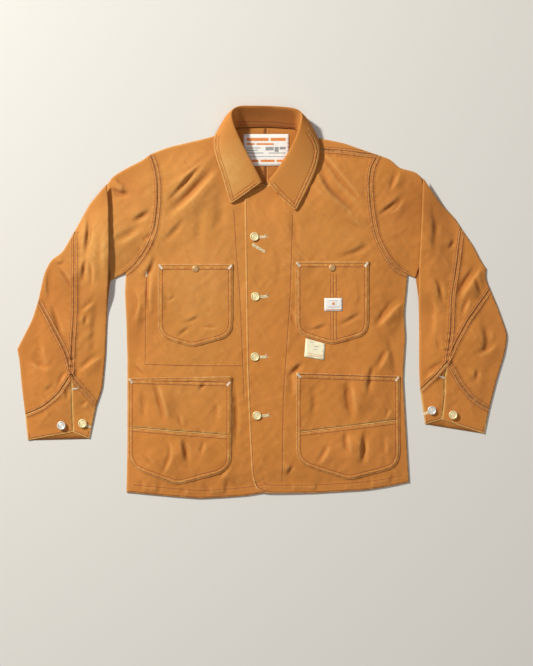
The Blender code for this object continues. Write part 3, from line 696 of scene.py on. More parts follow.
def canvas_material(name, shade=1.0):
    made = Nodes(name, CANVAS_SURFACE)
    position = made.position()
    broad = made.noise(position, 9.0, 2.0)
    mottle = made.noise(position, 75.0, 4.0, 0.65)
    slub = made.noise(position, 620.0, 2.0, 0.7)
    colour = made.mix(made.ramp(broad, 0.35, 0.65), CANVAS_BASE, CANVAS_LIGHT)
    # Mixed over the base in turn: random darker mottle; rubbed crests, fades and painted highlight;
    # painted shade; rubbed edges; random darker slubs.
    for share, tint in ((made.patchy(0.12, mottle, 0.45, 0.8), CANVAS_DEEP),
                        (made.patchy(made.attribute("rub_and_highlight"), mottle, 0.0, 0.62), CANVAS_WORN_AND_HIGHLIGHT),
                        (made.attribute("painted_shade"), CANVAS_DEEP),
                        (made.patchy(made.attribute("wear"), slub, 0.2, 0.55), CANVAS_WORN_AND_HIGHLIGHT),
                        (made.patchy(0.22, slub, 0.35, 0.75), CANVAS_DEEP)):
        colour = made.mix(share, colour, tint)
    yarns = made.weave(position, WEAVE_PITCH, 0.00022)
    made.surface({"Base Color": made.mix(1.0, colour, rgb(shade, shade, shade), "MULTIPLY"),
                  "Normal": made.bump(mottle, 0.4, 0.0009, Normal=yarns)})
    return made.material


def speckled(name, surface, tones, scale, low, high):
    """A material of two tones that noise of the given scale, detail and roughness tells apart."""
    made = Nodes(name, surface)
    position = made.position()
    tone = made.noise(position, *scale)
    made.surface({"Base Color": made.mix(made.ramp(tone, low, high), *tones)})
    return made, position, tone


def thread_material(name, *tones):
    made, position, _ = speckled(name, THREAD_SURFACE, tones, (240.0, 2.0), 0.35, 0.65)
    made.surface({"Normal": made.bump(made.noise(position, 2600.0, 1.0), 0.4, 0.0002)})
    return made.material


def metal_material(name, roughness, metallic, *tones):
    surface = {"Metallic": metallic, "Roughness": roughness}
    made, _, patina = speckled(name, surface, tones, (420.0, 4.0, 0.6), 0.42, 0.68)
    made.surface({"Normal": made.bump(patina, 0.25, 0.0002)})
    return made.material


def label_material(name, *tones):
    made, position, _ = speckled(name, LABEL_SURFACE, tones, (160.0, 3.0), 0.4, 0.75)
    made.surface({"Normal": made.weave(position, LABEL_PITCH, 0.0001)})
    return made.material


CANVAS = canvas_material("duck_canvas_worn")
# The layers underneath get a darker copy of the canvas: painted shade.
CANVAS_INSIDE_SHADED = canvas_material("duck_canvas_inside_shaded", 0.82)
RUST_THREAD = thread_material("rust_thread", rgb(0.300, 0.068, 0.026), rgb(0.190, 0.045, 0.022))
WHITE_THREAD = thread_material("white_thread", rgb(0.98, 0.94, 0.82), rgb(0.92, 0.86, 0.70))
CREAM_THREAD = thread_material("cream_thread", rgb(0.97, 0.88, 0.62), rgb(0.90, 0.76, 0.46))
PALE_GOLD = metal_material("pale_gold", 0.42, 0.35, rgb(0.96, 0.84, 0.50), rgb(0.80, 0.62, 0.32))
SILVER = metal_material("silver", 0.38, 0.45, rgb(0.92, 0.90, 0.86), rgb(0.66, 0.63, 0.58))
COPPER = metal_material("antique_copper", 0.42, 0.35, rgb(0.66, 0.40, 0.17), rgb(0.36, 0.18, 0.08))
WHITE_LABEL = label_material("white_label", rgb(0.92, 0.90, 0.88), rgb(0.82, 0.80, 0.78))
CREAM_LABEL = label_material("cream_label", rgb(0.96, 0.92, 0.68), rgb(0.88, 0.80, 0.54))
INKS = {"orange": label_material("orange_print", rgb(0.80, 0.27, 0.06), rgb(0.66, 0.20, 0.05)),
        "grey": label_material("grey_print", rgb(0.33, 0.34, 0.35), rgb(0.24, 0.25, 0.26))}


# --- Shells.


def show(name, mesh):
    """A mesh as a piece on the jacket's one body."""
    obj = bpy.data.objects.new(name, mesh)
    bpy.context.scene.collection.objects.link(obj)
    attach(obj, "root")
    return obj


def add_object(name, points, faces, finish, smooth=True):
    """A piece from points in millimetres."""
    mesh = bpy.data.meshes.new(name)
    mesh.from_pydata((np.asarray(points) * MM).tolist(), [], faces)
    mesh.materials.append(finish)
    if smooth:
        mesh.shade_smooth()
    return show(name, mesh)


def set_wear_and_light(obj, wear, rub_and_highlight, painted_shade):
    """What the canvas shows at each point: rubbed edges, paler spots of fading and painted highlight,
    and painted shade.
    """
    for name, values in (("wear", wear), ("rub_and_highlight", rub_and_highlight), ("painted_shade", painted_shade)):
        full = np.array(np.broadcast_to(values, len(obj.data.vertices)), np.float32)
        obj.data.attributes.new(name, "FLOAT", "POINT").data.foreach_set("value", full)


def fill_plan(loop, step):
    """Points and triangles over an outline: its own points first, then an even spread inside."""
    low, high = loop.min(0), loop.max(0)
    xs = np.arange(math.floor(low[0] / step), math.ceil(high[0] / step) + 1) * step
    ys = np.arange(math.floor(low[1] / step), math.ceil(high[1] / step) + 1) * step
    grid = np.stack(np.meshgrid(xs, ys, indexing="ij"), axis=-1).astype(float)
    grid[:, 1::2, 0] += step / 2
    spots = grid.reshape(-1, 2)
    spots = spots[within(spots, loop)]
    gap, _, _ = nearest_on(spots, loop, closed=True)
    plan = np.vstack([loop, spots[gap > 0.55 * step]])
    ring = [(i, (i + 1) % len(loop)) for i in range(len(loop))]
    verts, _, faces, *_ = delaunay_2d_cdt([Vector(p) for p in plan], ring, [], 1, 1e-5)
    return np.array([tuple(v) for v in verts]), [tuple(face) for face in faces]


def rim_of(faces):
    """The directed boundary edges of a set of triangles."""
    edges = set()
    for face in faces:
        for a, b in zip(face, face[1:] + face[:1]):
            edges.add((a, b))
    return [(a, b) for a, b in edges if (b, a) not in edges]


def shell(name, plan, faces, under, thickness, finish, roll):
    """A closed wall whose underside is at the given heights, with its upper edge rolled over."""
    top = under + thickness
    rim = rim_of(faces)
    top[sorted({a for a, _ in rim})] -= roll * thickness
    count = len(plan)
    points = np.vstack([np.column_stack([plan, top]), np.column_stack([plan, under])])
    lower = [tuple(i + count for i in face[::-1]) for face in faces]
    walls = [(a, a + count, b + count, b) for a, b in rim]
    return add_object(name, points, list(faces) + lower + walls, finish)


Fade = namedtuple("Fade", "x y radius amount")
# Paler spots: partly fading, partly painted highlight, most of them on the key lamp's side.
FADES_AND_HIGHLIGHTS = tuple(Fade(*row) for row in (
    (-325, 110, 75, 0.24), (-330, -60, 60, 0.08), (-170, 210, 110, 0.16), (-130, 20, 90, 0.14),
    (-150, -150, 80, 0.10), (150, 150, 110, 0.07), (-345, -220, 50, 0.08), (-20, 100, 120, 0.05),
))
# Darker spots: painted shade on slopes and sides turned away from the light.
SHADES = tuple(Fade(*row) for row in (
    (-262, -60, 34, 0.26), (-400, 35, 52, 0.30), (-452, -80, 56, 0.18), (300, 190, 70, 0.34),
    (-278, 232, 36, 0.22), (-262, 105, 30, 0.16), (250, -300, 60, 0.10), (-120, -372, 60, 0.12),
    (-228, -20, 40, 0.22), (60, -40, 40, 0.12), (466, -60, 50, 0.06),
))
# Paler collar leaves: wear on both, with painted highlight on the right leaf, on the key lamp's side.
RIGHT_LEAF = Fade(-75, 262, 62, 0.42)
LEFT_LEAF = Fade(92, 268, 62, 0.12)
STAND_SHADE = 0.42
STAND_LOW_Y, STAND_TOP = 338, 30         # the collar's stand lies beyond the one and under the other
STAND_X, STAND_HALF = 8, 56
FELL_HALF = 8.0
FELL_SHADE = 0.20        # how much deeper a felled seam's band is
WORN_REACH = 2.4         # in from an edge


def spotted(plan, spots):
    total = np.zeros(len(plan))
    for spot in spots:
        away = np.hypot(plan[:, 0] - spot.x, plan[:, 1] - spot.y) / spot.radius
        total += spot.amount * np.exp(-(away**2))
    return total


def wear_and_light_values(plan, loop, edge_share):
    """The three values of set_wear_and_light: crests are rubbed and painted lighter as highlight,
    hollows get painted shade, and felled seams are deeper.
    """
    gap, _, _ = nearest_on(plan, loop, closed=True)
    ragged = np.array([0.5 + 0.9 * noise.noise(Vector((x / 13, y / 13, 2.0))) for x, y in plan])
    wear = edge_share * np.exp(-((gap / WORN_REACH) ** 2)) * np.clip(ragged + 0.35, 0, 1.2)
    bend = sample(BEND, plan)
    # Crests paler, both from rubbing and as painted highlight, plus the paler spots.
    rub_and_highlight = np.clip(-bend * 0.6 - 0.10, 0, 0.14) + spotted(plan, FADES_AND_HIGHLIGHTS)
    # Hollows of the creases darker: painted shade, plus the darker spots of painted shade.
    painted_shade = np.clip(bend * 0.7 - 0.14, 0, 0.28) + spotted(plan, SHADES)
    for run in RUNS.values():
        if ((run.max(0) + FELL_HALF > plan.min(0)) & (run.min(0) - FELL_HALF < plan.max(0))).all():
            away, _, _ = nearest_on(plan, run)
            painted_shade += FELL_SHADE * (1 - ease(away, FELL_HALF - 3, FELL_HALF + 1))
    return wear, rub_and_highlight, painted_shade


cloth_objects = {}


def claim(obj, node):
    """Hides the node's CAD piece and keeps the cloth piece under the node's name."""
    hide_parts(node)
    cloth_objects[node] = obj


EDGE_SHARES = {"front_left": 0.55, "front_right": 0.4, "back_turn_left": 0.2}
POCKET_CLOTH = 1.9


def build_piece(node):
    loop = loops[node]
    plan, faces = fill_plan(loop, STEP)
    under = sample(FIELD, plan) + LIFTS[node](plan)
    thick = POCKET_CLOTH if "pocket" in node else CLOTH
    obj = shell("cloth_" + node, plan, faces, under, thick, CANVAS, 0.45)
    share = EDGE_SHARES.get(node, 0.75 if "pocket" in node or "cuff" in node else 0.18)
    set_wear_and_light(obj, *(np.tile(values, 2) for values in wear_and_light_values(plan, loop, share)))
    claim(obj, node)


def build_back(node):
    plan, faces = fill_plan(loops[node], BACK_STEP)
    # The back layers take the darker copy of the canvas: painted shade.
    obj = shell("cloth_" + node, plan, faces, np.zeros(len(plan)), CLOTH, CANVAS_INSIDE_SHADED, 0.25)
    set_wear_and_light(obj, 0, 0, 0)
    claim(obj, node)


def build_collar():
    """The collar's solid, smoothed and divided finer."""
    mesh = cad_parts["collar"].data.copy()
    mesh.name = "cloth_collar"
    bm = bmesh.new()
    bm.from_mesh(mesh)
    bmesh.ops.remove_doubles(bm, verts=bm.verts[:], dist=1e-6)
    bmesh.ops.join_triangles(bm, faces=bm.faces[:], angle_face_threshold=0.7,
                             angle_shape_threshold=0.9)
    bmesh.ops.subdivide_edges(bm, edges=bm.edges[:], cuts=1, use_grid_fill=True)
    bmesh.ops.smooth_vert(bm, verts=bm.verts[:], factor=0.5, use_axis_x=True, use_axis_y=True,
                          use_axis_z=True)
    bm.to_mesh(mesh)
    bm.free()
    mesh.materials.clear()
    mesh.materials.append(CANVAS)
    mesh.shade_smooth()
    obj = show("cloth_collar", mesh)
    smooth = obj.modifiers.new("smooth", "SUBSURF")
    smooth.levels = smooth.render_levels = 1
    spots = np.array([tuple(v.co / MM) for v in mesh.vertices])
    x, y, z = spots.T
    on_stand = (y > STAND_LOW_Y) & (np.abs(x - STAND_X) < STAND_HALF) & (z < STAND_TOP)
    # Leaves paler: wear, with painted highlight on the leaf on the key lamp's side; inside the stand,
    # painted shade.
    set_wear_and_light(obj, 0, spotted(spots, (RIGHT_LEAF, LEFT_LEAF)), STAND_SHADE * on_stand)
    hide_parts("collar")
    cloth_objects["collar"] = obj


# --- Stitching: rows of short threads laid on whatever cloth is uppermost.

DOWN = Vector((0, 0, -1))
ABOVE = 100.0            # over everything
BARE_HEIGHT = 3.0        # where nothing lies


class Ground:
    """The finished cloth, for laying small things on it."""

    def __init__(self):
        points, faces, start = [], [], 0
        graph = bpy.context.evaluated_depsgraph_get()
        for obj in cloth_objects.values():
            mesh = obj.evaluated_get(graph).to_mesh()
            points += [tuple(v.co / MM) for v in mesh.vertices]
            faces += [tuple(i + start for i in p.vertices) for p in mesh.polygons]
            start = len(points)
        self.tree = BVHTree.FromPolygons(points, faces)

    def top(self, x, y):
        return self.tree.ray_cast(Vector((x, y, ABOVE)), DOWN)[0]

    def trim(self, run, margin):
        """The run's longest stretch that has cloth under it and all round it."""
        kept, best = [], []
        for x, y in run:
            around = ((x + margin, y), (x - margin, y), (x, y + margin), (x, y - margin))
            if all(self.top(*spot) is not None for spot in around):
                kept.append((x, y))
                best = max(best, kept, key=len)
            else:
                kept = []
        return np.array(best)

    def drape(self, run, lift=0.0):
        """The run's points on the cloth."""
        tops = [self.top(x, y) for x, y in run]
        high = np.array([BARE_HEIGHT if top is None else top.z for top in tops])
        return np.column_stack([run, high + lift])


class Bundle:
    """Many small shapes joined into one mesh."""

    def __init__(self):
        self.points, self.faces = [], []

    def add(self, points, faces):
        start = len(self.points)
        self.points += [tuple(p) for p in points]
        self.faces += [tuple(i + start for i in face) for face in faces]

    def finish(self, name, finish, slot="duck_canvas", smooth=True):
        obj = add_object(name, self.points, self.faces, finish, smooth)
        return obj


THREAD_TAPER = 0.22      # radians of the sine that tapers a strand's ends
THREAD_SINK = 0.1        # how far its edges lie under the cloth, in its heights


def thread(points, half_width, height):
    """A strand lying on the cloth, with tapering ends: points and faces."""
    count = len(points)
    across = np.column_stack([leftward(points[:, :2]), np.zeros(count)])
    taper = np.sin(np.linspace(THREAD_TAPER, math.pi - THREAD_TAPER, count)) ** 0.5
    up = np.array([0, 0, height])
    rings = []
    for point, side, size in zip(points, across, taper):
        reach = side * half_width * size
        rings += [point + reach - up * THREAD_SINK, point + up * size, point - reach - up * THREAD_SINK]
    faces = [(a, a + 3, a + 4, a + 1) for i in range(count - 1) for a in (3 * i, 3 * i + 1)]
    return rings, faces


ROW_PITCH = 3.4
ROW_MARGIN = 1.0
STITCH_LENGTH = 3.15
STITCH_HALF_WIDTH = 0.72
STITCH_HEIGHT = 0.42
STITCH_LIFT = 0.06
WOBBLE = 0.12
STRIP_PITCH = 1.7
STRIP_SECTION = ((-1.0, -0.25), (-0.5, 0.75), (0.0, 1.0), (0.5, 0.75), (1.0, -0.25))
PUCKER_MARGIN = 2.5
EDGE_MARGIN = 0.3
EDGE_HALF_WIDTH = 0.75
EDGE_HEIGHT = 0.2


class Sewing:
    """Rows of stitches, the puckers between them and rubbed edges, in a bundle for each kind."""

    def __init__(self, ground):
        self.ground = ground
        self.stitches, self.puckers, self.edges, self.pocket_edges = (Bundle() for _ in range(4))

    def row(self, run):
        """A row of stitches along a run in plan."""
        if np.linalg.norm(np.diff(run, axis=0), axis=1).sum() < ROW_PITCH:
            return
        even = self.ground.trim(resample(run, ROW_PITCH), ROW_MARGIN)
        for a, b in zip(even[:-1], even[1:]):
            share = STITCH_LENGTH / max(np.linalg.norm(b - a), 1e-6)
            start = a + np.array([random.uniform(-WOBBLE, WOBBLE), random.uniform(-WOBBLE, WOBBLE)])
            spots = np.array([start, start + (b - a) * share * 0.5, start + (b - a) * share])
            self.stitches.add(*thread(self.ground.drape(spots, STITCH_LIFT), STITCH_HALF_WIDTH,
                                      STITCH_HEIGHT))

    def strip(self, bundle, run, half_width, height, margin):
        """A narrow band of cloth that stands up in soft, uneven puckers."""
        even = self.ground.trim(resample(run, STRIP_PITCH), margin)
        count = len(even)
        if count < 4:
            return
        points = self.ground.drape(even)
        high = points[:, 2].copy()
        for _ in range(3):
            high[1:-1] = (high[:-2] + high[1:-1] + high[2:]) / 3
        points[:, 2] = np.maximum(points[:, 2], high)
        across = leftward(even)
        beat = np.array([noise.noise(Vector((x / 3.8, y / 3.8, 5.0))) for x, y in even])
        rise = height * np.clip(0.65 + 1.1 * beat, 0.15, 1.4)
        rows = [np.column_stack([even + across * half_width * share, points[:, 2] + rise * lift])
                for share, lift in STRIP_SECTION]
        wide = len(rows)
        faces = [(wide * i + k, wide * i + k + 1, wide * (i + 1) + k + 1, wide * (i + 1) + k)
                 for i in range(count - 1) for k in range(wide - 1)]
        bundle.add(np.stack(rows, axis=1).reshape(-1, 3), faces)

    def pucker(self, run, half_width, height):
        self.strip(self.puckers, run, half_width, height, PUCKER_MARGIN)

    def edge(self, bundle, run):
        """The pale, rubbed edge of a turned hem."""
        self.strip(bundle, run, EDGE_HALF_WIDTH, EDGE_HEIGHT, EDGE_MARGIN)

    def finish(self):
        self.stitches.finish("stitching", RUST_THREAD)
        for bundle, name, base, swing in ((self.puckers, "seam_puckers", 0.10, 0.5),
                                          (self.edges, "worn_edges", 0.66, 0.6),
                                          (self.pocket_edges, "pocket_edges", 0.26, 0.6)):
            strip = bundle.finish(name, CANVAS)
            worn = [base + swing * noise.noise(v.co / MM / 5) for v in strip.data.vertices]
            set_wear_and_light(strip, np.clip(worn, 0.0, 0.9), 0, 0)


def hip_ring(side):
    """The whole outline of a hip pocket, from the two pieces either side of its cross seam."""
    upper, lower = loops[f"hip_pocket_{side}_upper"], loops[f"hip_pocket_{side}_lower"]
    gap_upper = np.array([np.hypot(*(lower - p).T).min() for p in upper])
    gap_lower = np.array([np.hypot(*(upper - p).T).min() for p in lower])
    keep = np.vstack([upper[gap_upper > 2.0], lower[gap_lower > 2.0]])
    both = np.vstack([upper, lower])
    centre = (both.min(0) + both.max(0)) / 2
    angle = np.arctan2(keep[:, 1] - centre[1], keep[:, 0] - centre[0])
    return keep[np.argsort(angle)]


POCKET_RINGS = [loops[name] for name in CHEST] + [hip_ring(side) for side in SIDES]
TOP_BAND = 9             # below a pocket's highest point, where its top corners lie


def top_corners(ring):
    top = ring[ring[:, 1] > ring[:, 1].max() - TOP_BAND]
    return top[np.argmin(top[:, 0])], top[np.argmax(top[:, 0])]


def open_below_top(ring, amount, top_gap):
    """The ring inset by the amount and opened along its top edge, from the right round to the left."""
    inner = offset_run(np.vstack([ring[-1:], ring, ring[:1]]), amount)[1:-1]
    below = inner[:, 1] < ring[:, 1].max() - top_gap
    start = next(i for i in range(len(inner)) if below[i] and not below[i - 1])
    order = [(start + i) % len(inner) for i in range(len(inner))]
    return inner[[i for i in order if below[i]]]


def top_run(ring, amount, inset):
    """A line under the ring's top edge, from left to right."""
    left, right = top_corners(ring)
    way = (right - left) / np.linalg.norm(right - left)
    down = np.array([way[1], -way[0]])
    return np.array([left + way * inset + down * amount, right - way * inset + down * amount])


# Amounts are inwards from an edge or to the left of a seam.
FELL_ROWS = (-6.0, -2.0, 2.0, 6.0)
FELL_PUCKERS = (-4.0, 0.0, 4.0)
CROSS_ROWS = (-8.0, -2.0)
CROSS_PUCKER = -4.6
POCKET_ROWS = (2.2, 8.6)
POCKET_PUCKER = 5.4
POCKET_TOP_ROWS = (3.4, 11.0)
POCKET_TOP_PUCKER = 7.2
PENCIL_X = 141.5
PENCIL_ROWS = (-5.5, 0, 5.5)
PENCIL_PUCKERS = (-2.8, 2.8)
HEM_ROWS = ((3.2, 1), (16.5, 4))         # each with the points left off at its ends
LEAF_ROWS = (3.4, 9.6)
LEAF_PUCKER = 6.3
LEAF_EDGES = (                           # +1 where the leaf lies to the left of its edge
    (1, ((-91, 342), (-98, 326), (-98, 312), (-91, 284), (-79, 248), (-71, 220), (-64, 197))),
    (1, ((-64, 197), (-34, 217), (-4, 239))),
    (-1, ((90, 348), (106, 324), (113, 304), (108, 276), (96, 247), (80, 213), (66, 183))),
    (-1, ((66, 183), (38, 208), (11, 239))),
)
NECK_SEAM = np.array([(-54, 357), (-20, 358), (20, 357), (68, 352)], float)
NECK_ROWS = (-4.0, 1.5)
CENTRE_BACK_X = 8.0
CENTRE_ROWS = (-4.6, 0.0, 4.6)


def sew_fells(sewing):
    for run in RUNS.values():
        for amount in FELL_ROWS:
            sewing.row(offset_run(run, amount))
        for amount in FELL_PUCKERS:
            sewing.pucker(offset_run(run, amount), 1.1, 0.45)


def sew_pockets(sewing):
    for side in SIDES:
        cross = shared_run(f"hip_pocket_{side}_lower", [f"hip_pocket_{side}_upper"])
        cross = resample(cross[np.argsort(cross[:, 0])], 4)
        for amount in CROSS_ROWS:
            sewing.row(offset_run(cross, amount)[1:-1])
        sewing.pucker(offset_run(cross, CROSS_PUCKER)[2:-2], 2.0, 0.4)
    for ring in POCKET_RINGS:
        for amount in POCKET_ROWS:
            sewing.row(open_below_top(ring, amount, amount))
        sewing.pucker(open_below_top(ring, POCKET_PUCKER, 6), 2.3, 0.45)
        for amount in POCKET_TOP_ROWS:
            sewing.row(top_run(ring, amount, 3))
        sewing.edge(sewing.pocket_edges, open_below_top(ring, 1.0, 2))
        sewing.edge(sewing.pocket_edges, top_run(ring, 1.2, 2))
        sewing.pucker(top_run(ring, POCKET_TOP_PUCKER, 10), 2.6, 0.5)
    for aside in PENCIL_ROWS:
        x = PENCIL_X + aside
        sewing.row(np.array([(x, 58.0), (x, -76.0 + abs(aside) * 0.3)]))
    for aside in PENCIL_PUCKERS:
        x = PENCIL_X + aside
        sewing.pucker(np.array([(x, 56.0), (x, -74.0)]), 1.6, 0.35)


def sew_fronts(sewing):
    for line in STITCHED_LINES:
        run = relax(resample(line, 4), 6)
        sewing.row(run)
        sewing.pucker(offset_run(run, 2.4), 1.2, 0.12)
    edge = loops["front_left"]
    placket = edge[(edge[:, 0] < -8) & (edge[:, 1] < 210)]
    placket = placket[np.argsort(-placket[:, 1])]
    sewing.row(offset_run(placket, 3.2))
    sewing.edge(sewing.edges, offset_run(placket, 1.2))
    for run in HEMS.values():
        for amount, ends in HEM_ROWS:
            sewing.row(offset_run(relax(resample(run, 4)), amount)[ends:-ends])


def sew_cuffs(sewing):
    for side in SIDES:
        for part in ("cuff_outer", "cuff_inner"):
            ring = loops[f"{part}_{side}"]
            foot = ring[ring[:, 1] < ring[:, 1].min() + 19]
            foot = resample(foot[np.argsort(foot[:, 0])], 4)
            sewing.row(offset_run(foot, 4.0)[1:-1])
            sewing.edge(sewing.edges, offset_run(foot, 1.0))


def sew_collar(sewing):
    for inwards, leaf in LEAF_EDGES:
        run = relax(resample(np.array(leaf, float), 3), 8)
        for amount in LEAF_ROWS:
            sewing.row(offset_run(run, amount * inwards)[2:-2])
        sewing.edge(sewing.edges, offset_run(run, 1.3 * inwards))
        sewing.pucker(offset_run(run, LEAF_PUCKER * inwards)[3:-3], 2.2, 0.45)
    for drop in NECK_ROWS:
        sewing.row(resample(NECK_SEAM - (0, drop), 4))
    for aside in CENTRE_ROWS:
        x = CENTRE_BACK_X + aside
        sewing.row(np.array([(x, 351.0), (x, 240.0)]))


# --- Worked threads: bar tacks and buttonholes.

SATIN_HALF_WIDTH = 0.36
SATIN_LIFT = 0.25
SATIN_HEIGHT = 0.5
TACK_LENGTH = 9.6
TACK_SLOPE = (0.62, -0.78)
SLEEVE_TACKS = (((-379, -171), (-368, -170)), ((352, -146), (364, -149)))
INNER_POCKET_TACK = ((-231.0, 63.0), (-231.5, 53.0))
HOLE_HALF = 1.5          # half the gap between a buttonhole's sides
UNUSED_HOLE = ((-17.5, 115.5), (5, 102))


def satin(bundle, ground, run, half_width, pitch=0.75):
    """Dense threads across a run, as in a bar tack or the side of a buttonhole."""
    even = resample(np.array(run, float), pitch)
    for spot, side in zip(even, leftward(even)):
        slant = random.uniform(-0.2, 0.2)
        ends = np.array([spot - side * half_width, spot + (slant, 0), spot + side * half_width])
        bundle.add(*thread(ground.drape(ends, SATIN_LIFT), SATIN_HALF_WIDTH, SATIN_HEIGHT))


def corner_tacks(bundle, ground, ring):
    for corner, way in zip(top_corners(ring), (1, -1)):
        start = corner + (way * 2.4, -2.6)
        step = np.array([way * TACK_SLOPE[0], TACK_SLOPE[1]]) * TACK_LENGTH
        satin(bundle, ground, (start, start + step), 2.4)


def keyhole(cream, ground, eye, tail, eye_radius):
    """A worked buttonhole: a round eye and two straight sides that meet at the tail."""
    eye, tail = np.array(eye, float), np.array(tail, float)
    way = (tail - eye) / np.linalg.norm(tail - eye)
    side = np.array([-way[1], way[0]])
    turns = np.linspace(0.5, 2 * math.pi - 0.5, 13)
    ring = [eye + eye_radius * (math.cos(t) * way + math.sin(t) * side) for t in turns]
    near, far = eye + way * eye_radius * 1.5, tail - way * 2
    half = side * HOLE_HALF
    satin(cream, ground, np.vstack([far + half, near + half, ring, near - half, far - half]), 1.35, 0.62)
    satin(cream, ground, (tail - way * 1.8, tail + way * 0.6), 2.2, 0.7)


def loose_ends(cream, ground, start, ends):
    for end in ends:
        middle = (np.array(start) + np.array(end)) / 2 + (0.6, 0.8)
        run = relax(resample(np.array([start, middle, end], float), 1.0), 3)
        cream.add(*thread(ground.drape(run, 0.5), 0.5, 0.7))


def middle_of(node):
    low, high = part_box(node)
    return (low.x + high.x) / 2 / MM, (low.y + high.y) / 2 / MM


def buttonholes_and_tacks(ground):
    cream, white = Bundle(), Bundle()
    for ring in POCKET_RINGS:
        corner_tacks(white, ground, ring)
    satin(white, ground, INNER_POCKET_TACK, 1.7)
    for i in range(1, 5):
        x, y = middle_of(f"front_button_{i}")
        keyhole(cream, ground, (x + 1, y - 0.5), (x + 22, y - 0.5), 1.6)
        loose_ends(cream, ground, (x + 19, y), ((x + 26, y + 3.5), (x + 28, y - 2.0), (x + 24, y + 6)))
    keyhole(cream, ground, *UNUSED_HOLE, 2.5)
    for side, reach in (("right", 16), ("left", -16)):
        x, y = middle_of(f"cuff_button_{side}_inner")
        keyhole(cream, ground, (x, y), (x + reach, y - 8), 1.5)
    for ends in SLEEVE_TACKS:
        satin(white, ground, ends, 1.6)
    cream.finish("buttonholes", CREAM_THREAD)
    white.finish("bar_tacks", WHITE_THREAD)


# --- Buttons, snaps and labels.

# Each row is a ring's radius and height, from the crown round to the foot.
BUTTON_RINGS = (
    (0.0, 2.15), (1.2, 2.2), (1.5, 1.95), (2.6, 1.95), (2.9, 2.2), (4.2, 2.15), (4.5, 1.9),
    (5.9, 1.85), (6.2, 2.5), (6.8, 2.95), (7.6, 3.0), (8.3, 2.6), (8.75, 1.9), (8.6, 1.2),
    (7.6, 0.5), (4.0, 0.0), (0.0, 0.0),
)
SNAP_RINGS = (
    (0.0, 3.15), (1.6, 3.1), (2.0, 2.95), (2.6, 3.0), (4.4, 2.85), (6.0, 2.4), (7.0, 1.7),
    (7.35, 1.0), (7.4, 0.4), (7.1, 0.0), (0.0, 0.0),
)
TURN_STEPS = 40
DENT = 0.12              # of the twelve dents round a button
DENT_RADIUS = 5.2


def turned(name, node, rings, finish, tilt, dent):
    """A stamped metal disc on its CAD piece: rings spun about its axis, with small dents."""
    low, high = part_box(node)
    centre = (low + high) / 2 / MM
    points, faces = [], []
    for radius, height in rings:
        for k in range(TURN_STEPS):
            angle = 2 * math.pi * k / TURN_STEPS
            ripple = dent * math.cos(angle * 12) * math.exp(-((radius - DENT_RADIUS) ** 2) / 0.6)
            x, y = radius * math.cos(angle), radius * math.sin(angle)
            lean = tilt[0] * x + tilt[1] * y
            points.append((centre.x + x, centre.y + y, low.z / MM + height + ripple + lean))
    for i in range(len(rings) - 1):
        for k in range(TURN_STEPS):
            a, b = i * TURN_STEPS + k, i * TURN_STEPS + (k + 1) % TURN_STEPS
            faces.append((a, a + TURN_STEPS, b + TURN_STEPS, b))
    obj = add_object(name, points, faces, finish)
    bm = bmesh.new()
    bm.from_mesh(obj.data)
    bmesh.ops.remove_doubles(bm, verts=bm.verts[:], dist=1e-7)
    bmesh.ops.recalc_face_normals(bm, faces=bm.faces[:])
    bm.to_mesh(obj.data)
    bm.free()
    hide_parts(node)


def build_fasteners():
    for i in range(1, 5):
        turned(f"tack_button_{i}", f"front_button_{i}", BUTTON_RINGS, PALE_GOLD,
               (0.03 * (-1) ** i, 0.02), DENT)
    for name, finish in (("right_outer", SILVER), ("right_inner", PALE_GOLD), ("left_inner", SILVER),
                         ("left_outer", PALE_GOLD)):
        turned("tack_button_" + name, "cuff_button_" + name, BUTTON_RINGS, finish,
               (0.02, -0.03), DENT)
    for side in SIDES:
        turned("dome_snap_" + side, "pocket_snap_" + side, SNAP_RINGS, COPPER,
               (0.0, 0.02), 0.0)


LABEL_CLOTH = 0.6
LABEL_STEP = 4.0
PRINT_LIFT = 0.14
TAPE_CORNER = (84.0, -106.0)
TAPE_WAY = (0.985, -0.17)

# Bars of generic print, in the label's own millimetres from its lower left corner.
Bar = namedtuple("Bar", "left right bottom top ink")
NECK_BARS = tuple(Bar(*row) for row in (
    (6, 50, 50, 56, "orange"), (54, 84, 50, 56, "orange"), (6, 22, 42, 45.5, "orange"),
    (26, 60, 42, 45.5, "orange"), (6, 34, 35, 36.6, "grey"), (6, 28, 30.5, 32, "grey"),
    (44, 60, 31, 38, "grey"), (62, 70, 28, 38, "grey"), (72, 84, 33, 38, "grey"),
    (50, 84, 25, 26.6, "grey"), (6, 40, 25, 26.6, "grey"), (6, 84, 18, 19.2, "grey"),
    (6, 30, 8, 12.5, "orange"), (34, 62, 8, 12.5, "orange"), (66, 84, 8, 12.5, "orange"),
))
POCKET_BARS = tuple(Bar(*row) for row in (
    (15.5, 20.5, 12, 17, "orange"), (6, 30, 7.5, 8.4, "grey"), (9, 27, 20, 20.9, "grey"),
    (3, 33, 2.6, 3.6, "orange"),
))
TAPE_BARS = tuple(Bar(*row) for row in (
    (6, 13, 30, 31, "grey"), (15, 24, 23, 24.2, "grey"), (16, 22, 17, 18, "grey"),
    (4, 36, 7, 7.8, "orange"), (6, 34, 3.6, 4.4, "orange"),
))


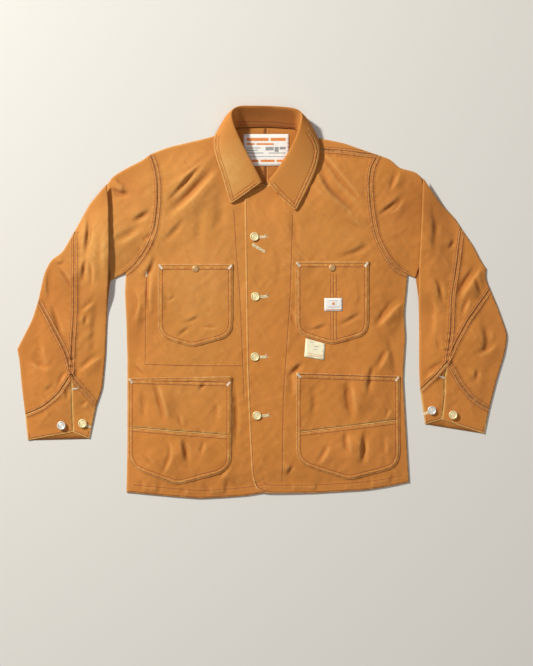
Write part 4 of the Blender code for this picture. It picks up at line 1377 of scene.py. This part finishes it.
def build_label(node, finish, layers, gap_under=0.0):
    loop = smooth_loop(upper_loop(node), LABEL_STEP)
    plan, faces = fill_plan(loop, LABEL_STEP)
    if layers:
        under = sample(FIELD, plan) + over_right_front(plan) + layers * LAYER + gap_under
    else:
        under = np.full(len(plan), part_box(node)[0].z / MM)
    gap, _, _ = nearest_on(plan, loop, closed=True)
    waves = np.array([noise.noise(Vector((x / 11, y / 11, 9.0))) for x, y in plan])
    puff = 0.35 * np.clip(gap / 6, 0, 1) + 0.2 * waves
    obj = shell("cloth_" + node, plan, faces, under + np.maximum(puff, 0), LABEL_CLOTH, finish, 0.2)
    claim(obj, node)


def build_labels():
    build_label("neck_label", WHITE_LABEL, 0)
    build_label("pocket_label", WHITE_LABEL, 2, gap_under=0.5)
    build_label("seam_label", CREAM_LABEL, 1)


def print_bars(ground, name, origin, way, bars, slot):
    """A label's bars, laid on it as thin strips, with a piece for each ink."""
    way = np.array(way)
    across = np.array([-way[1], way[0]])
    for ink, finish in INKS.items():
        bundle = Bundle()
        for bar in (bar for bar in bars if bar.ink == ink):
            xs = np.linspace(bar.left, bar.right, max(int((bar.right - bar.left) / 3), 1) + 1)
            for a, b in zip(xs[:-1], xs[1:]):
                spots = ((a, bar.bottom), (b, bar.bottom), (b, bar.top), (a, bar.top))
                corners = np.array([origin + way * u + across * v for u, v in spots])
                bundle.add(ground.drape(corners, PRINT_LIFT), [(0, 1, 2, 3)])
        bundle.finish(f"{name}_{ink}", finish, slot, smooth=False)


def print_labels(ground):
    for name, bars, slot in (("neck", NECK_BARS, "white_weave"), ("pocket", POCKET_BARS, "cream_weave")):
        low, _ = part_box(name + "_label")
        print_bars(ground, name + "_print", (low.x / MM, low.y / MM), (1.0, 0.0), bars, slot)
    print_bars(ground, "tape_print", TAPE_CORNER, TAPE_WAY, TAPE_BARS, "cream_weave")


# --- The floor, camera and lights, in metres.

FLOOR_SIZE = 9.0
FLOOR_SURFACE = {"Base Color": rgb(0.74, 0.73, 0.71), "Roughness": 0.9}
CAMERA_HEIGHT = 2.4
CAMERA_PLAN = (0.008, -0.0595)
FRAME_HEIGHT = 1.332     # of floor from the picture's top to its bottom
SENSOR = 36.0
Light = namedtuple("Light", "name place size power colour")
LIGHTS = (
    Light("key", (-3.15, 2.52, 2.82), 0.48, 282, (1.0, 0.985, 0.90)),
    Light("fill", (0.5, -0.6, 3.0), 3.2, 17, (1.0, 0.92, 0.86)),
)
SKY = {"Color": rgb(1.0, 0.95, 0.92), "Strength": 0.19}


def build_stage():
    bpy.ops.mesh.primitive_plane_add(size=FLOOR_SIZE, location=(0, 0, -0.0002))
    floor = bpy.context.object
    floor.name = "floor"
    floor.data.materials.append(Nodes("pale_floor", FLOOR_SURFACE).material)


def build_camera():
    data = bpy.data.cameras.new("camera")
    data.sensor_fit = "VERTICAL"
    data.sensor_height = SENSOR
    data.lens = SENSOR * CAMERA_HEIGHT / FRAME_HEIGHT
    camera = bpy.data.objects.new("camera", data)
    camera.location = (*CAMERA_PLAN, CAMERA_HEIGHT)
    bpy.context.scene.collection.objects.link(camera)
    bpy.context.scene.camera = camera


def build_lights():
    """Round lamps aimed at the jacket's middle, and a dim even sky."""
    bpy.context.scene.view_settings.view_transform = "Standard"
    for row in LIGHTS:
        data = bpy.data.lights.new(row.name, "AREA")
        data.shape = "DISK"
        data.size = row.size
        data.energy = row.power
        data.color = row.colour
        light = bpy.data.objects.new(row.name, data)
        light.location = row.place
        light.rotation_euler = (-Vector(row.place)).to_track_quat("-Z", "Y").to_euler()
        bpy.context.scene.collection.objects.link(light)
    world = bpy.data.worlds.new("studio")
    bpy.context.scene.world = world
    world.use_nodes = True
    for key, value in SKY.items():
        world.node_tree.nodes["Background"].inputs[key].default_value = value


def main():
    build_camera()
    build_stage()
    for node in BACKS:
        build_back(node)
    build_piece("back_turn_left")
    for node in FRONTS:
        build_piece(node)
    for side in SIDES:
        for part in ("sleeve_cap",) + SLEEVE_TOPS:
            build_piece(f"{part}_{side}")
    for node in CHEST + HIPS:
        build_piece(node)
    build_collar()
    sewing = Sewing(Ground())
    for sew in (sew_fells, sew_pockets, sew_fronts, sew_cuffs, sew_collar):
        sew(sewing)
    sewing.finish()
    build_labels()
    ground = Ground()
    buttonholes_and_tacks(ground)
    print_labels(ground)
    build_fasteners()
    build_lights()
    bpy.context.view_layer.update()


main()
